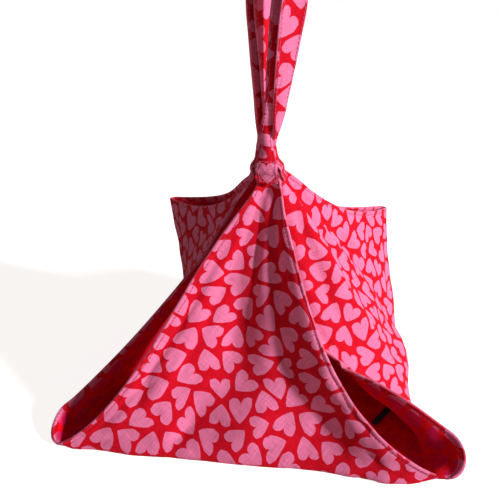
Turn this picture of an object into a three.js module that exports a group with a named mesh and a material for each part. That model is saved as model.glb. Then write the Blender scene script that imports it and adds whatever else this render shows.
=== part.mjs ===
// A cloth carrier for a round pie or cake.
// A square of lined cloth lies flat under the dish. Its four corners are drawn up to one knot over the middle,
// and the four middles of its sides stand out between them as folded arms: two low, open ones in front and
// two upright, flat ones behind. A strap joins each pair of neighbouring corners.
// Millimetres, +Z up, -Y towards the viewer. The origin is at the table, under the middle of the whole object.

import * as THREE from 'three';

// The gathered corners
const knotHeight = 217;
const knotShiftX = 5;
const knotHalfWidth = 9;
const cornerWidth = 13;

// The two plies of cloth, and the small gap between them
const outerThickness = 1.0;
const liningThickness = 0.8;
const plyGap = 0.3;
const baseFoldRadius = 9;
const footCornerRadius = 22;

// The four arms. A foot is the corner of the flat bottom under an arm. A tip is the furthest point of the rim
// there, and the rim turns back on itself round it. The mouth sizes lead from the tip to the two ends of this
// turn, the one ahead nearer the viewer and the one behind further off.
const frontLeftArm = {
  footX: -161, footY: -107, tipX: -171, tipY: -93, tipZ: 9,
  mouthAheadX: 12, mouthAheadY: -13, mouthAheadZ: -6, mouthBehindX: 8, mouthBehindY: 21, mouthBehindZ: 10,
};
const frontRightArm = {
  footX: 151, footY: -105, tipX: 175, tipY: -93, tipZ: 17,
  mouthAheadX: -20, mouthAheadY: -10, mouthAheadZ: -9, mouthBehindX: -14, mouthBehindY: 21, mouthBehindZ: 13,
};
const backRightArm = {
  footX: 141, footY: 136, tipX: 118, tipY: 131, tipZ: 143,
  mouthAheadX: -1, mouthAheadY: -7, mouthAheadZ: 1, mouthBehindX: -7, mouthBehindY: -1, mouthBehindZ: 1,
};
const backLeftArm = {
  footX: -90, footY: 127, tipX: -116, tipY: 131, tipZ: 142,
  mouthAheadX: 1, mouthAheadY: -7, mouthAheadZ: 1, mouthBehindX: 7, mouthBehindY: -1, mouthBehindZ: 1,
};

// How each half of the rim runs from a corner to an arm's tip, as shares of the way along X, Y and Z.
// The first triple pulls the curve near the corner, the second near the tip.
const rimShares = {
  frontToFrontRight: [[0.20, 0.33, 0.33], [0.30, 0.85, 0.85]],
  rightToFrontRight: [[0.04, 0.42, 1.00], [0.36, 0.60, 0.66]],
  rightToBackRight: [[0.32, 0.21, 0.36], [0.53, 0.50, 0.93]],
  backToBackRight: [[0.14, 0.21, 0.49], [0.46, 0.58, 0.86]],
  backToBackLeft: [[0.36, 0.22, 0.36], [0.20, 0.69, 0.79]],
  leftToBackLeft: [[0.17, 0.15, 0.48], [0.50, 0.50, 0.93]],
  leftToFrontLeft: [[0.22, 0.30, 0.36], [0.72, 0.55, 0.80]],
  frontToFrontLeft: [[0.30, 0.27, 0.27], [0.60, 0.87, 0.87]],
};

// The straps
const strapWidth = 25;
const strapThickness = 2.0;
const strapFootWidth = 9;
const strapNeck = 7;
const strapFlare = 90;
const strapEndRise = 22;
const strapEndLap = 7;
const strapEndWidth = 17;
const strapEndWidestShare = 0.35;
const strapEndInset = 3;
const seamGap = 0.45;
const handleRise = 250;
const handleSpread = 46;
const rightHandleLean = 36;
const leftHandleLean = 5;

// How a strand climbs from its straight neck to the start of the loop's round top: shares of the rise, of its
// foot's distance to the side and of half the spread between the two strands.
const strandShares = [
  [0, 0.95, 0.02], [0.035, 0.8, 0.09], [0.12, 0.5, 0.1], [0.25, 0.3, 0.12], [0.48, 0.1, 0.18],
  [0.66, 0, 0.4], [0.84, 0, 0.85], [1, 0, 1],
];

// The bare tab that is sewn on the lining near the front right arm
const tabLength = 32;
const tabWidth = 6;
const tabThickness = 0.8;
const tabX = 117;
const tabY = -31;
const tabTurn = THREE.MathUtils.degToRad(56);

// How finely the cloth and the straps are cut into flat facets
const rimSteps = 6;
const tipSteps = 2;
const wallShares = [0.2, 0.4, 0.6, 0.8, 1];
const floorShares = [0.4, 0.75, 1];
const strapSteps = 44;
const tabEndSteps = 6;

const up = new THREE.Vector3(0, 0, 1);
const halfWidth = cornerWidth / 2;
const midHeight = outerThickness + plyGap / 2;

const fabric = (colour, roughness) => new THREE.MeshStandardMaterial({ color: colour, roughness, metalness: 0 });
const printedCotton = fabric(0xe23a6e, 0.85);
const shadedCotton = fabric(0xb01c4c, 0.88);
const strapCotton = fabric(0xe8568c, 0.82);
const blackTwill = fabric(0x17151a, 0.9);

// One corner of the cloth at the knot: its middle, the way it faces and the way its short edge runs.
function corner(outX, outY) {
  const out = new THREE.Vector3(outX, outY, 0);
  const along = new THREE.Vector3(-outY, outX, 0);
  const middle = new THREE.Vector3(knotShiftX, 0, knotHeight).addScaledVector(out, knotHalfWidth);
  return { out, along, middle };
}

const corners = {
  front: corner(0, -1),
  right: corner(1, 0),
  back: corner(0, 1),
  left: corner(-1, 0),
};

// The rim's points from the middle of a corner's edge out to an arm's tip. side is 1 where the arm follows the
// corner anticlockwise, seen from above, and -1 where it comes before it. ahead picks the end of the mouth.
function rimHalf(from, arm, shares, side, ahead) {
  const tip = new THREE.Vector3(arm.tipX, arm.tipY, arm.tipZ);
  const aheadEnd = tip.clone().add(new THREE.Vector3(arm.mouthAheadX, arm.mouthAheadY, arm.mouthAheadZ));
  const behindEnd = tip.clone().add(new THREE.Vector3(arm.mouthBehindX, arm.mouthBehindY, arm.mouthBehindZ));
  const end = ahead ? aheadEnd : behindEnd;
  const start = from.middle.clone().addScaledVector(from.along, side * halfWidth);
  const way = end.clone().sub(start);
  const pulled = shares.map((share) => start.clone().add(way.clone().multiply(new THREE.Vector3(...share))));
  const curve = new THREE.CubicBezierCurve3(start, pulled[0], pulled[1], end);
  const points = [from.middle.clone()];
  for (let i = 0; i <= rimSteps; i += 1) points.push(curve.getPoint(i / rimSteps));
  const centre = aheadEnd.clone().add(behindEnd).multiplyScalar(1 / 2);
  for (let i = 1; i <= tipSteps; i += 1) {
    const turn = (Math.PI / 2) * (i / tipSteps);
    points.push(centre.clone()
      .addScaledVector(tip.clone().sub(centre), Math.sin(turn))
      .addScaledVector(end.clone().sub(centre), Math.cos(turn)));
  }
  return points;
}

// The edge of the flat bottom under one half of the rim, with as many points, from the middle of a side of the
// bottom to the middle of the rounded corner under the arm.
function footHalf(middle, arm, otherMiddle) {
  const foot = new THREE.Vector3(arm.footX, arm.footY, 0);
  const inward = middle.clone().sub(foot).normalize();
  const across = otherMiddle.clone().sub(foot).normalize();
  const bendStart = foot.clone().addScaledVector(inward, footCornerRadius);
  const bendEnd = foot.clone().addScaledVector(across, footCornerRadius);
  const firstStep = middle.clone().lerp(bendStart, halfWidth / middle.distanceTo(bendStart));
  const points = [middle.clone()];
  for (let i = 0; i <= rimSteps; i += 1) points.push(firstStep.clone().lerp(bendStart, i / rimSteps));
  const bend = new THREE.QuadraticBezierCurve3(bendStart, foot, bendEnd);
  for (let i = 1; i <= tipSteps; i += 1) points.push(bend.getPoint(i / (2 * tipSteps)));
  return points;
}

// The closed rim and the closed edge of the bottom, point for point, anticlockwise from above.
function outlines() {
  const ring = [
    ['front', frontRightArm, 'right', 'frontToFrontRight', 'rightToFrontRight', true],
    ['right', backRightArm, 'back', 'rightToBackRight', 'backToBackRight', true],
    ['back', backLeftArm, 'left', 'backToBackLeft', 'leftToBackLeft', false],
    ['left', frontLeftArm, 'front', 'leftToFrontLeft', 'frontToFrontLeft', false],
  ];
  const sideMiddle = {};
  ring.forEach(([name], i) => {
    const before = ring[(i + ring.length - 1) % ring.length][1];
    const after = ring[i][1];
    sideMiddle[name] = new THREE.Vector3(before.footX + after.footX, before.footY + after.footY, 0)
      .multiplyScalar(1 / 2);
  });
  const rim = [];
  const foot = [];
  const cornerAt = {};
  for (const [first, arm, second, outShares, backShares, aheadFirst] of ring) {
    cornerAt[first] = rim.length;
    rim.push(...rimHalf(corners[first], arm, rimShares[outShares], 1, aheadFirst));
    foot.push(...footHalf(sideMiddle[first], arm, sideMiddle[second]));
    const rimBack = rimHalf(corners[second], arm, rimShares[backShares], -1, !aheadFirst);
    const footBack = footHalf(sideMiddle[second], arm, sideMiddle[first]);
    rim.push(...rimBack.slice(1, -1).reverse());
    foot.push(...footBack.slice(1, -1).reverse());
  }
  return { rim, foot, cornerAt };
}

// The middle surface of the cloth: rings of points from the middle of the bottom out and up to the rim.
function clothRings() {
  const { rim, foot, cornerAt } = outlines();
  const centre = foot.reduce((sum, p) => sum.add(p), new THREE.Vector3()).multiplyScalar(1 / foot.length);
  const lift = new THREE.Vector3(0, 0, midHeight);
  const rings = floorShares.map(() => []);
  const foldRing = [];
  const wallRings = [[], ...wallShares.map(() => [])];
  foot.forEach((edge, i) => {
    const inner = edge.clone().sub(edge.clone().sub(centre).setLength(baseFoldRadius));
    const rise = rim[i].clone().sub(edge);
    const wallStart = edge.clone().addScaledVector(rise, Math.min(baseFoldRadius / rise.length(), wallShares[0]));
    floorShares.forEach((share, k) => rings[k].push(centre.clone().lerp(inner, share).add(lift)));
    foldRing.push(new THREE.QuadraticBezierCurve3(inner, edge, wallStart).getPoint(1 / 2).add(lift));
    [0, ...wallShares].forEach((share, k) => wallRings[k].push(wallStart.clone().lerp(rim[i], share).add(lift)));
  });
  return { centre: centre.add(lift), rings: [...rings, foldRing, ...wallRings], cornerAt };
}

// A point's outward direction on the rings, from its neighbours round the ring and up the wall.
function ringNormals(rings, centre) {
  return rings.map((ring, k) => ring.map((point, i) => {
    const after = ring[(i + 1) % ring.length];
    const before = ring[(i + ring.length - 1) % ring.length];
    const lower = k > 0 ? rings[k - 1][i] : centre;
    const upper = rings[Math.min(k + 1, rings.length - 1)][i];
    return after.clone().sub(before).cross(upper.clone().sub(lower)).normalize();
  }));
}

function geometryOf(points, faces) {
  const geometry = new THREE.BufferGeometry();
  geometry.setAttribute('position', new THREE.Float32BufferAttribute(points.flatMap((p) => p.toArray()), 3));
  geometry.setIndex(faces.flat());
  geometry.computeVertexNormals();
  return geometry;
}

// One ply of cloth as a thin closed shell, from one distance to another outside the middle surface. Each patch
// between two rings is split along its shorter diagonal, so that the arms stay smooth.
function plyGeometry(cloth, inside, outside) {
  const normals = ringNormals(cloth.rings, cloth.centre);
  const count = cloth.rings[0].length;
  const points = [];
  const faces = [];
  const skins = [outside, inside].map((distance) => {
    const first = points.length;
    points.push(cloth.centre.clone().addScaledVector(up, -distance));
    cloth.rings.forEach((ring, k) => ring.forEach((p, i) => {
      points.push(p.clone().addScaledVector(normals[k][i], distance));
    }));
    return (k, i) => (k < 0 ? first : first + 1 + k * count + (i % count));
  });
  skins.forEach((at, side) => {
    const add = (a, b, c) => faces.push(side === 0 ? [a, b, c] : [a, c, b]);
    for (let i = 0; i < count; i += 1) {
      add(at(-1, 0), at(0, i + 1), at(0, i));
      const next = (i + 1) % count;
      for (let k = 0; k + 1 < cloth.rings.length; k += 1) {
        const rising = cloth.rings[k][i].distanceTo(cloth.rings[k + 1][next]);
        const falling = cloth.rings[k][next].distanceTo(cloth.rings[k + 1][i]);
        if (rising <= falling) {
          add(at(k, i), at(k, i + 1), at(k + 1, i + 1));
          add(at(k, i), at(k + 1, i + 1), at(k + 1, i));
        } else {
          add(at(k, i), at(k, i + 1), at(k + 1, i));
          add(at(k, i + 1), at(k + 1, i + 1), at(k + 1, i));
        }
      }
    }
  });
  const top = cloth.rings.length - 1;
  const [outer, inner] = skins;
  for (let i = 0; i < count; i += 1) {
    faces.push([outer(top, i), outer(top, i + 1), inner(top, i + 1)]);
    faces.push([outer(top, i), inner(top, i + 1), inner(top, i)]);
  }
  return geometryOf(points, faces);
}

// A closed solid from sections of four points each, in order along its length.
function sweptGeometry(sections) {
  const sides = sections[0].length;
  const faces = [];
  for (let s = 0; s + 1 < sections.length; s += 1) {
    for (let i = 0; i < sides; i += 1) {
      const j = (i + 1) % sides;
      const [a, b, c, d] = [s * sides + i, s * sides + j, (s + 1) * sides + j, (s + 1) * sides + i];
      faces.push([a, c, b], [a, d, c]);
    }
  }
  const last = (sections.length - 1) * sides;
  for (let i = 1; i + 1 < sides; i += 1) {
    faces.push([0, i, i + 1], [last, last + i + 1, last + i]);
  }
  return geometryOf(sections.flat(), faces);
}

// The inner side of a strap's sewn end, a share of the way up from the edge of the cloth to its own top.
function strapEndPlace(name, share) {
  return corners[name].middle.clone()
    .addScaledVector(corners[name].out, plyGap / 2 + outerThickness + seamGap - strapEndInset * share)
    .addScaledVector(up, midHeight + strapEndRise * share);
}

// The end of a strap, sewn flat on the outside of one corner of the cloth and standing up from its edge. Its
// lower part follows the slope of the cloth, and its upper part leans in towards the knot.
function strapEndGeometry(cloth, name) {
  const { out, along } = corners[name];
  const top = cloth.rings[cloth.rings.length - 1][cloth.cornerAt[name]];
  const below = cloth.rings[cloth.rings.length - 2][cloth.cornerAt[name]];
  const slope = below.clone().sub(top).normalize();
  const normal = along.clone().cross(slope).negate().normalize();
  const rim = top.clone().addScaledVector(normal, plyGap / 2 + outerThickness + seamGap);
  const rows = [
    [rim.clone().addScaledVector(slope, strapEndLap), normal, cornerWidth],
    [rim, normal.clone().add(out).normalize(), cornerWidth],
    [strapEndPlace(name, strapEndWidestShare), out, strapEndWidth],
    [strapEndPlace(name, 1), out, strapFootWidth],
  ];
  return sweptGeometry(rows.map(([place, face, width]) => [[1, 0], [1, 1], [-1, 1], [-1, 0]].map(([w, f]) => (
    place.clone().addScaledVector(along, (w * width) / 2).addScaledVector(face, f * strapThickness)))));
}

// Where a strap leaves the sewn end on a corner: just above it, in the middle of its thickness.
function strapFoot(name) {
  return strapEndPlace(name, 1)
    .addScaledVector(corners[name].out, strapThickness / 2)
    .addScaledVector(up, seamGap);
}

// A strap's free loop, from one corner up, over and down to the next. Both strands keep their flat sides turned
// to lean, the way in which the loop leans, and pass one behind the other as they rise.
function handleGeometry(firstName, secondName, lean, leanShift) {
  const first = strapFoot(firstName);
  const second = strapFoot(secondName);
  const across = second.clone().sub(first).normalize();
  const middle = first.clone().add(second).multiplyScalar(1 / 2);
  const reach = first.distanceTo(second) / 2;
  const bend = handleSpread / 2;
  const place = (side, riseShare, sideShare, spreadShare) => middle.clone()
    .addScaledVector(across, side * reach * sideShare)
    .addScaledVector(lean, side * bend * spreadShare + leanShift * riseShare)
    .addScaledVector(up, strapNeck + (handleRise - strapNeck - bend) * riseShare);
  const rise = [first, ...strandShares.map((shares) => place(-1, ...shares))];
  const fall = [second, ...strandShares.map((shares) => place(1, ...shares))].reverse();
  const crown = place(0, 1, 0, 0).addScaledVector(up, bend);
  const curve = new THREE.CatmullRomCurve3([...rise, crown, ...fall], false, 'centripetal');
  const points = curve.getSpacedPoints(strapSteps);
  return sweptGeometry(points.map((point, i) => {
    const before = points[Math.max(i - 1, 0)];
    const after = points[Math.min(i + 1, strapSteps)];
    const along = after.clone().sub(before).normalize();
    if (i === 0) along.copy(up);
    if (i === strapSteps) along.copy(up).negate();
    const face = across.clone().cross(along).normalize();
    const wide = along.clone().cross(face).normalize();
    const grown = THREE.MathUtils.clamp((point.z - first.z - strapNeck) / strapFlare, 0, 1);
    const width = strapFootWidth + (strapWidth - strapFootWidth) * grown;
    return [[1, 1], [-1, 1], [-1, -1], [1, -1]].map(([w, f]) => point.clone()
      .addScaledVector(wide, (w * width) / 2)
      .addScaledVector(face, (f * strapThickness) / 2));
  }));
}

// The bare tab, which lies flat on the lining of the bottom near the front right arm.
function tabGeometry() {
  const outline = new THREE.Shape();
  const bend = tabWidth / 2;
  const reach = tabLength / 2 - bend;
  const quarter = Math.PI / 2;
  outline.absarc(reach, 0, bend, -quarter, quarter, false);
  outline.absarc(-reach, 0, bend, quarter, -quarter, false);
  const settings = { depth: tabThickness, bevelEnabled: false, curveSegments: tabEndSteps };
  const geometry = new THREE.ExtrudeGeometry(outline, settings);
  geometry.rotateZ(tabTurn);
  const rest = midHeight + plyGap / 2 + liningThickness + seamGap;
  return geometry.translate(tabX, tabY, rest);
}

function named(name, geometry, material) {
  const mesh = new THREE.Mesh(geometry, material);
  mesh.name = name;
  return mesh;
}

function carrier() {
  const cloth = clothRings();
  const leanRight = new THREE.Vector3(1, -1, 0).normalize();
  const leanLeft = leanRight.clone().negate();
  const pieces = [
    named('outer_cloth', plyGeometry(cloth, plyGap / 2, plyGap / 2 + outerThickness), printedCotton),
    named('lining_cloth', plyGeometry(cloth, -plyGap / 2 - liningThickness, -plyGap / 2), shadedCotton),
    named('right_handle', handleGeometry('front', 'right', leanRight, rightHandleLean), strapCotton),
    named('left_handle', handleGeometry('back', 'left', leanLeft, leftHandleLean), strapCotton),
    named('inner_tab', tabGeometry(), blackTwill),
  ];
  for (const name of Object.keys(corners)) {
    pieces.push(named(`${name}_strap_end`, strapEndGeometry(cloth, name), strapCotton));
  }
  const bag = new THREE.Group();
  bag.add(...pieces);
  const box = new THREE.Box3().setFromObject(bag);
  const middle = box.getCenter(new THREE.Vector3());
  bag.position.set(-middle.x, -middle.y, -box.min.z);
  return bag;
}

export default carrier();
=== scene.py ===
"""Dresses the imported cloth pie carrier.

The carrier is a square of lined cotton whose four corners meet at a knot, with two strap handles. This script
builds its two plies, its hem, its straps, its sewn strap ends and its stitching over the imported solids, and
sets a plain studio round them. Shapes are written in millimetres from the knot's axis, as the solids are, and
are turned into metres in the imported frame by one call.
"""

import logging
import math
from dataclasses import dataclass, field
from enum import Enum

import bpy
import numpy as np
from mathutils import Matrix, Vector, noise


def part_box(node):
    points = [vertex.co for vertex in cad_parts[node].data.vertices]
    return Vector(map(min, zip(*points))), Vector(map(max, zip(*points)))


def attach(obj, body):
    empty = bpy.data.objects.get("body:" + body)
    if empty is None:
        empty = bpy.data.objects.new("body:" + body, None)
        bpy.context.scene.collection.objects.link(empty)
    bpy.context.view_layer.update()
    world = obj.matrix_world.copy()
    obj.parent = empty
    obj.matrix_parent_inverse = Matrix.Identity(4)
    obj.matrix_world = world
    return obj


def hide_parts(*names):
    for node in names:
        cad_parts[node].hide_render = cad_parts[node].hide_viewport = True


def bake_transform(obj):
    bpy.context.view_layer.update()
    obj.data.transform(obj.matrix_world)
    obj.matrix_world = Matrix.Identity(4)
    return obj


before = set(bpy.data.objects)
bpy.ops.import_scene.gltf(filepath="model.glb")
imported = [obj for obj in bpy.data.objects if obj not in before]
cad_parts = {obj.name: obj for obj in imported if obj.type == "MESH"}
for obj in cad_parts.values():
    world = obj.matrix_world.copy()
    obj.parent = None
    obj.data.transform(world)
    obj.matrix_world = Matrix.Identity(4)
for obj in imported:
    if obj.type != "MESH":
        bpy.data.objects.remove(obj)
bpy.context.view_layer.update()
log = logging.getLogger("carrier")

MM = 0.001
TAB_PLACE = np.array([117.0, -31.0])
UP = np.array([0.0, 0.0, 1.0])


class Ply(Enum):
    """The two layers of the cloth."""

    OUTER = "outer"
    LINING = "lining"


class Side(Enum):
    """The two handles, by the way that each one leans."""

    RIGHT = "right"
    LEFT = "left"


def frame_shift() -> np.ndarray:
    """Gives the step, in millimetres, from the knot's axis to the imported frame."""
    low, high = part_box("inner_tab")
    middle = np.array((low + high) / 2) / MM
    return np.array([*(middle[:2] - TAB_PLACE), 0.0])


SHIFT = frame_shift()


def to_frame(points: np.ndarray) -> np.ndarray:
    """Turns points in millimetres from the knot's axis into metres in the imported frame."""
    return (points + SHIFT) * MM


def unit(vectors: np.ndarray) -> np.ndarray:
    """Scales vectors to a length of one.

    Args:
        vectors: One vector, or an array of them along the last axis.

    Returns:
        The same directions, each one unit long.
    """
    length = np.linalg.norm(vectors, axis=-1, keepdims=True)
    return vectors / np.maximum(length, 1e-9)


def lerp(start: np.ndarray, end: np.ndarray, shares: np.ndarray) -> np.ndarray:
    """Gives the points at the given shares of the way from start to end."""
    return start + (end - start) * np.asarray(shares)[:, None]


def bezier(handles: list[np.ndarray], shares: np.ndarray) -> np.ndarray:
    """Samples a Bezier curve of any degree.

    Args:
        handles: Its control points, from start to end.
        shares: Where to sample it, from 0 to 1.

    Returns:
        One point for each share.
    """
    rows = [np.repeat(h[None, :], len(shares), 0) for h in handles]
    t = np.asarray(shares)[:, None]
    while len(rows) > 1:
        rows = [a + (b - a) * t for a, b in zip(rows, rows[1:])]
    return rows[0]


def make_object(name: str, points: np.ndarray, faces: list, smooth: bool = True) -> bpy.types.Object:
    """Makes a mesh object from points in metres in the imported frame.

    Args:
        name: The piece's name.
        points: One row for each vertex.
        faces: Lists of vertex numbers, anticlockwise from outside.
        smooth: Whether the faces are shaded as one smooth surface.

    Returns:
        The object, linked to the scene.
    """
    mesh = bpy.data.meshes.new(name)
    mesh.from_pydata(points.tolist(), [], faces)
    mesh.update()
    if smooth:
        mesh.shade_smooth()
    piece = bpy.data.objects.new(name, mesh)
    bpy.context.scene.collection.objects.link(piece)
    return piece


def write_uv(piece: bpy.types.Object, name: str, values: np.ndarray) -> None:
    """Stores one pair of texture lengths, in metres, for each vertex of a piece."""
    layer = piece.data.uv_layers.new(name=name)
    loops = np.empty(len(piece.data.loops), int)
    piece.data.loops.foreach_get("vertex_index", loops)
    layer.data.foreach_set("uv", values[loops].astype(np.float32).ravel())


def settle(piece: bpy.types.Object, body: str, material: bpy.types.Material) -> None:
    """Gives a piece its finish and its body, and logs its number of vertices."""
    piece.data.materials.append(material)
    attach(piece, body)
    log.info("%s: %d vertices", piece.name, len(piece.data.vertices))


class NodePen:
    """Writes shader nodes as formulas, in the order in which they are worked out."""

    def __init__(self, tree: bpy.types.NodeTree) -> None:
        """Starts in an empty tree or group."""
        self.tree = tree
        self.count = 0

    def node(self, kind: str, **settings: object) -> bpy.types.Node:
        """Places one node and sets its options by name."""
        made = self.tree.nodes.new(kind)
        made.location = (180 * (self.count % 12), -220 * (self.count // 12))
        self.count += 1
        for key, value in settings.items():
            setattr(made, key, value)
        return made

    def feed(self, socket: bpy.types.NodeSocket, value: object) -> None:
        """Links a socket to another one, or sets its value."""
        if isinstance(value, bpy.types.NodeSocket):
            self.tree.links.new(value, socket)
        else:
            socket.default_value = value

    def math(self, operation: str, *values: object, clamp: bool = False) -> bpy.types.NodeSocket:
        """Works out one number from one to three others."""
        made = self.node("ShaderNodeMath", operation=operation, use_clamp=clamp)
        for socket, value in zip(made.inputs, values):
            self.feed(socket, value)
        return made.outputs[0]

    def vector(self, operation: str, *values: object) -> bpy.types.NodeSocket:
        """Works out one vector from one or two others. SCALE takes a number second."""
        made = self.node("ShaderNodeVectorMath", operation=operation)
        if operation == "SCALE":
            self.feed(made.inputs[0], values[0])
            self.feed(made.inputs["Scale"], values[1])
        else:
            for socket, value in zip(made.inputs, values):
                self.feed(socket, value)
        return made.outputs["Value"] if operation in ("LENGTH", "DOT_PRODUCT") else made.outputs[0]

    def split(self, value: bpy.types.NodeSocket) -> tuple:
        """Takes a vector apart."""
        made = self.node("ShaderNodeSeparateXYZ")
        self.feed(made.inputs[0], value)
        return tuple(made.outputs)

    def join(self, x: object = 0.0, y: object = 0.0, z: object = 0.0) -> bpy.types.NodeSocket:
        """Puts a vector together."""
        made = self.node("ShaderNodeCombineXYZ")
        for socket, value in zip(made.inputs, (x, y, z)):
            self.feed(socket, value)
        return made.outputs[0]

    def step(self, value: object, low: object, high: object, start: float = 0.0, end: float = 1.0) -> object:
        """Runs smoothly from start, at low, to end, at high."""
        made = self.node("ShaderNodeMapRange", interpolation_type="SMOOTHSTEP")
        for socket, given in zip(made.inputs, (value, low, high, start, end)):
            self.feed(socket, given)
        return made.outputs[0]

    def noise(
        self, place: object, scale: object, detail: float = 2.0, roughness: float = 0.5
    ) -> bpy.types.Node:
        """Places a noise texture, in two dimensions, on a place in metres."""
        made = self.node("ShaderNodeTexNoise", noise_dimensions="2D")
        self.feed(made.inputs["Vector"], place)
        self.feed(made.inputs["Scale"], scale)
        made.inputs["Detail"].default_value = detail
        made.inputs["Roughness"].default_value = roughness
        return made

    def mix(self, factor: object, first: object, second: object, blend: str = "MIX") -> object:
        """Mixes two colours."""
        made = self.node("ShaderNodeMix", data_type="RGBA", blend_type=blend)
        self.feed(made.inputs["Factor"], factor)
        self.feed(made.inputs[6], first)
        self.feed(made.inputs[7], second)
        return made.outputs[2]

    def group(self, tree: bpy.types.NodeTree, **values: object) -> bpy.types.Node:
        """Places a group and feeds its sockets by name, with underscores for spaces."""
        made = self.node("ShaderNodeGroup")
        made.node_tree = tree
        for key, value in values.items():
            self.feed(made.inputs[key.replace("_", " ")], value)
        return made


def start_group(name: str, inputs: dict[str, object], outputs: dict[str, str]) -> tuple:
    """Opens a shader node group with named sockets.

    Args:
        name: The group's name.
        inputs: The default of each input by name: a number, or None for a place on the cloth.
        outputs: The socket kind of each output by name.

    Returns:
        The group, a pen in it, its inputs by name and the node that its results go to.
    """
    tree = bpy.data.node_groups.new(name, "ShaderNodeTree")
    for key, default in inputs.items():
        kind = "NodeSocketVector" if default is None else "NodeSocketFloat"
        socket = tree.interface.new_socket(key, in_out="INPUT", socket_type=kind)
        if default is not None:
            socket.default_value = default
    for key, kind in outputs.items():
        tree.interface.new_socket(key, in_out="OUTPUT", socket_type=kind)
    pen = NodePen(tree)
    entry = pen.node("NodeGroupInput")
    exit_node = pen.node("NodeGroupOutput")
    return tree, pen, {key: entry.outputs[key] for key in inputs}, exit_node


# Each heart of the print: its place across and along one repeat, in millimetres, its turn in degrees, its
# width in millimetres, and its length and its lean, both in quarters of that width.
REPEAT = 112.0
HEARTS = (
    (2.1, 8.5, 76, 20.6, 2.67, 0.0), (13.8, 21.8, 35, 21.6, 3.0, -0.2),
    (3.6, 38.5, 86, 22.0, 2.71, 0.01), (107.9, 60.9, 217, 21.1, 2.52, 0.2),
    (1.3, 79.4, 89, 22.4, 3.1, -0.18), (111.8, 101.1, 266, 22.4, 2.95, -0.27),
    (33.0, 13.2, 172, 21.0, 3.0, -0.24), (31.3, 31.9, 98, 22.5, 2.85, -0.02),
    (19.7, 50.5, 40, 21.4, 3.03, 0.27), (24.8, 70.6, 167, 22.9, 2.76, -0.26),
    (18.2, 87.0, 330, 21.2, 2.85, 0.27), (22.3, 106.7, 358, 23.2, 2.45, 0.02),
    (51.1, 2.2, 343, 21.7, 2.84, -0.21), (52.7, 24.8, 175, 22.2, 3.05, -0.05),
    (45.7, 45.8, 17, 22.7, 2.96, -0.16), (42.7, 66.4, 323, 22.1, 3.04, 0.12),
    (52.9, 83.1, 272, 21.0, 2.8, 0.02), (40.6, 95.3, 338, 23.9, 3.11, -0.12),
    (75.0, 10.2, 142, 20.4, 2.49, -0.14), (70.5, 28.7, 229, 21.3, 3.1, 0.21),
    (70.2, 44.2, 49, 22.2, 2.7, 0.15), (62.9, 62.1, 325, 20.1, 2.47, -0.04),
    (71.8, 80.9, 352, 20.6, 2.9, -0.05), (65.3, 101.8, 295, 23.2, 2.76, 0.13),
    (93.9, 4.1, 260, 23.1, 2.74, 0.26), (93.1, 21.7, 337, 22.5, 3.08, -0.24),
    (93.9, 44.5, 178, 23.6, 2.51, -0.19), (83.4, 62.4, 222, 23.0, 2.89, -0.08),
    (93.5, 77.5, 33, 21.2, 2.73, 0.0), (89.4, 98.5, 107, 22.6, 2.82, -0.24),
)


def single_heart_group() -> bpy.types.NodeTree:
    """Builds one heart of the print, which comes back in every repeat of the cloth.

    Returns:
        A group that puts out Depth: how far inside the heart a place lies, in metres, below zero outside it.
    """
    inputs = {
        "Place": None, "Across": 0.0, "Along": 0.0, "Turn": 0.0, "Width": 0.02, "Length": 2.8, "Lean": 0.0,
    }
    tree, pen, given, out = start_group("Single Heart", inputs, {"Depth": "NodeSocketFloat"})
    half = REPEAT * MM / 2
    away = pen.vector("SUBTRACT", given["Place"], pen.join(given["Across"], given["Along"], 0.0))
    wrapped = pen.vector("WRAP", away, (half, half, 1.0), (-half, -half, -1.0))
    turned = pen.node("ShaderNodeVectorRotate", rotation_type="Z_AXIS", invert=True)
    pen.feed(turned.inputs["Vector"], wrapped)
    pen.feed(turned.inputs["Angle"], given["Turn"])
    quarter = pen.math("MULTIPLY", given["Width"], 0.25)
    x, y, _ = pen.split(pen.vector("SCALE", turned.outputs[0], pen.math("DIVIDE", 1.0, quarter)))
    across = pen.math("MINIMUM", pen.math("ABSOLUTE", pen.math("MULTIPLY_ADD", y, given["Lean"], x)), 3.0)
    y = pen.math("SUBTRACT", y, pen.math("MULTIPLY_ADD", given["Length"], 0.5, -0.62))
    lobe = pen.math("POWER", pen.math("SUBTRACT", across, 1.0), 2.0)
    top = pen.math("SQRT", pen.math("SUBTRACT", 1.0, lobe, clamp=True))
    side = pen.math("POWER", pen.math("MULTIPLY", across, 0.5, clamp=True), 1.25)
    flank = pen.math("POWER", pen.math("SUBTRACT", 1.0, side, clamp=True), 0.72)
    bottom = pen.math("MULTIPLY", pen.math("MULTIPLY", flank, given["Length"]), -1.0)
    inside = pen.math("MINIMUM", pen.math("SUBTRACT", top, y), pen.math("SUBTRACT", y, bottom))
    inside = pen.math("MINIMUM", inside, pen.math("SUBTRACT", 2.0, across))
    pen.feed(out.inputs["Depth"], pen.math("MULTIPLY", inside, quarter))
    return tree


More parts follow.
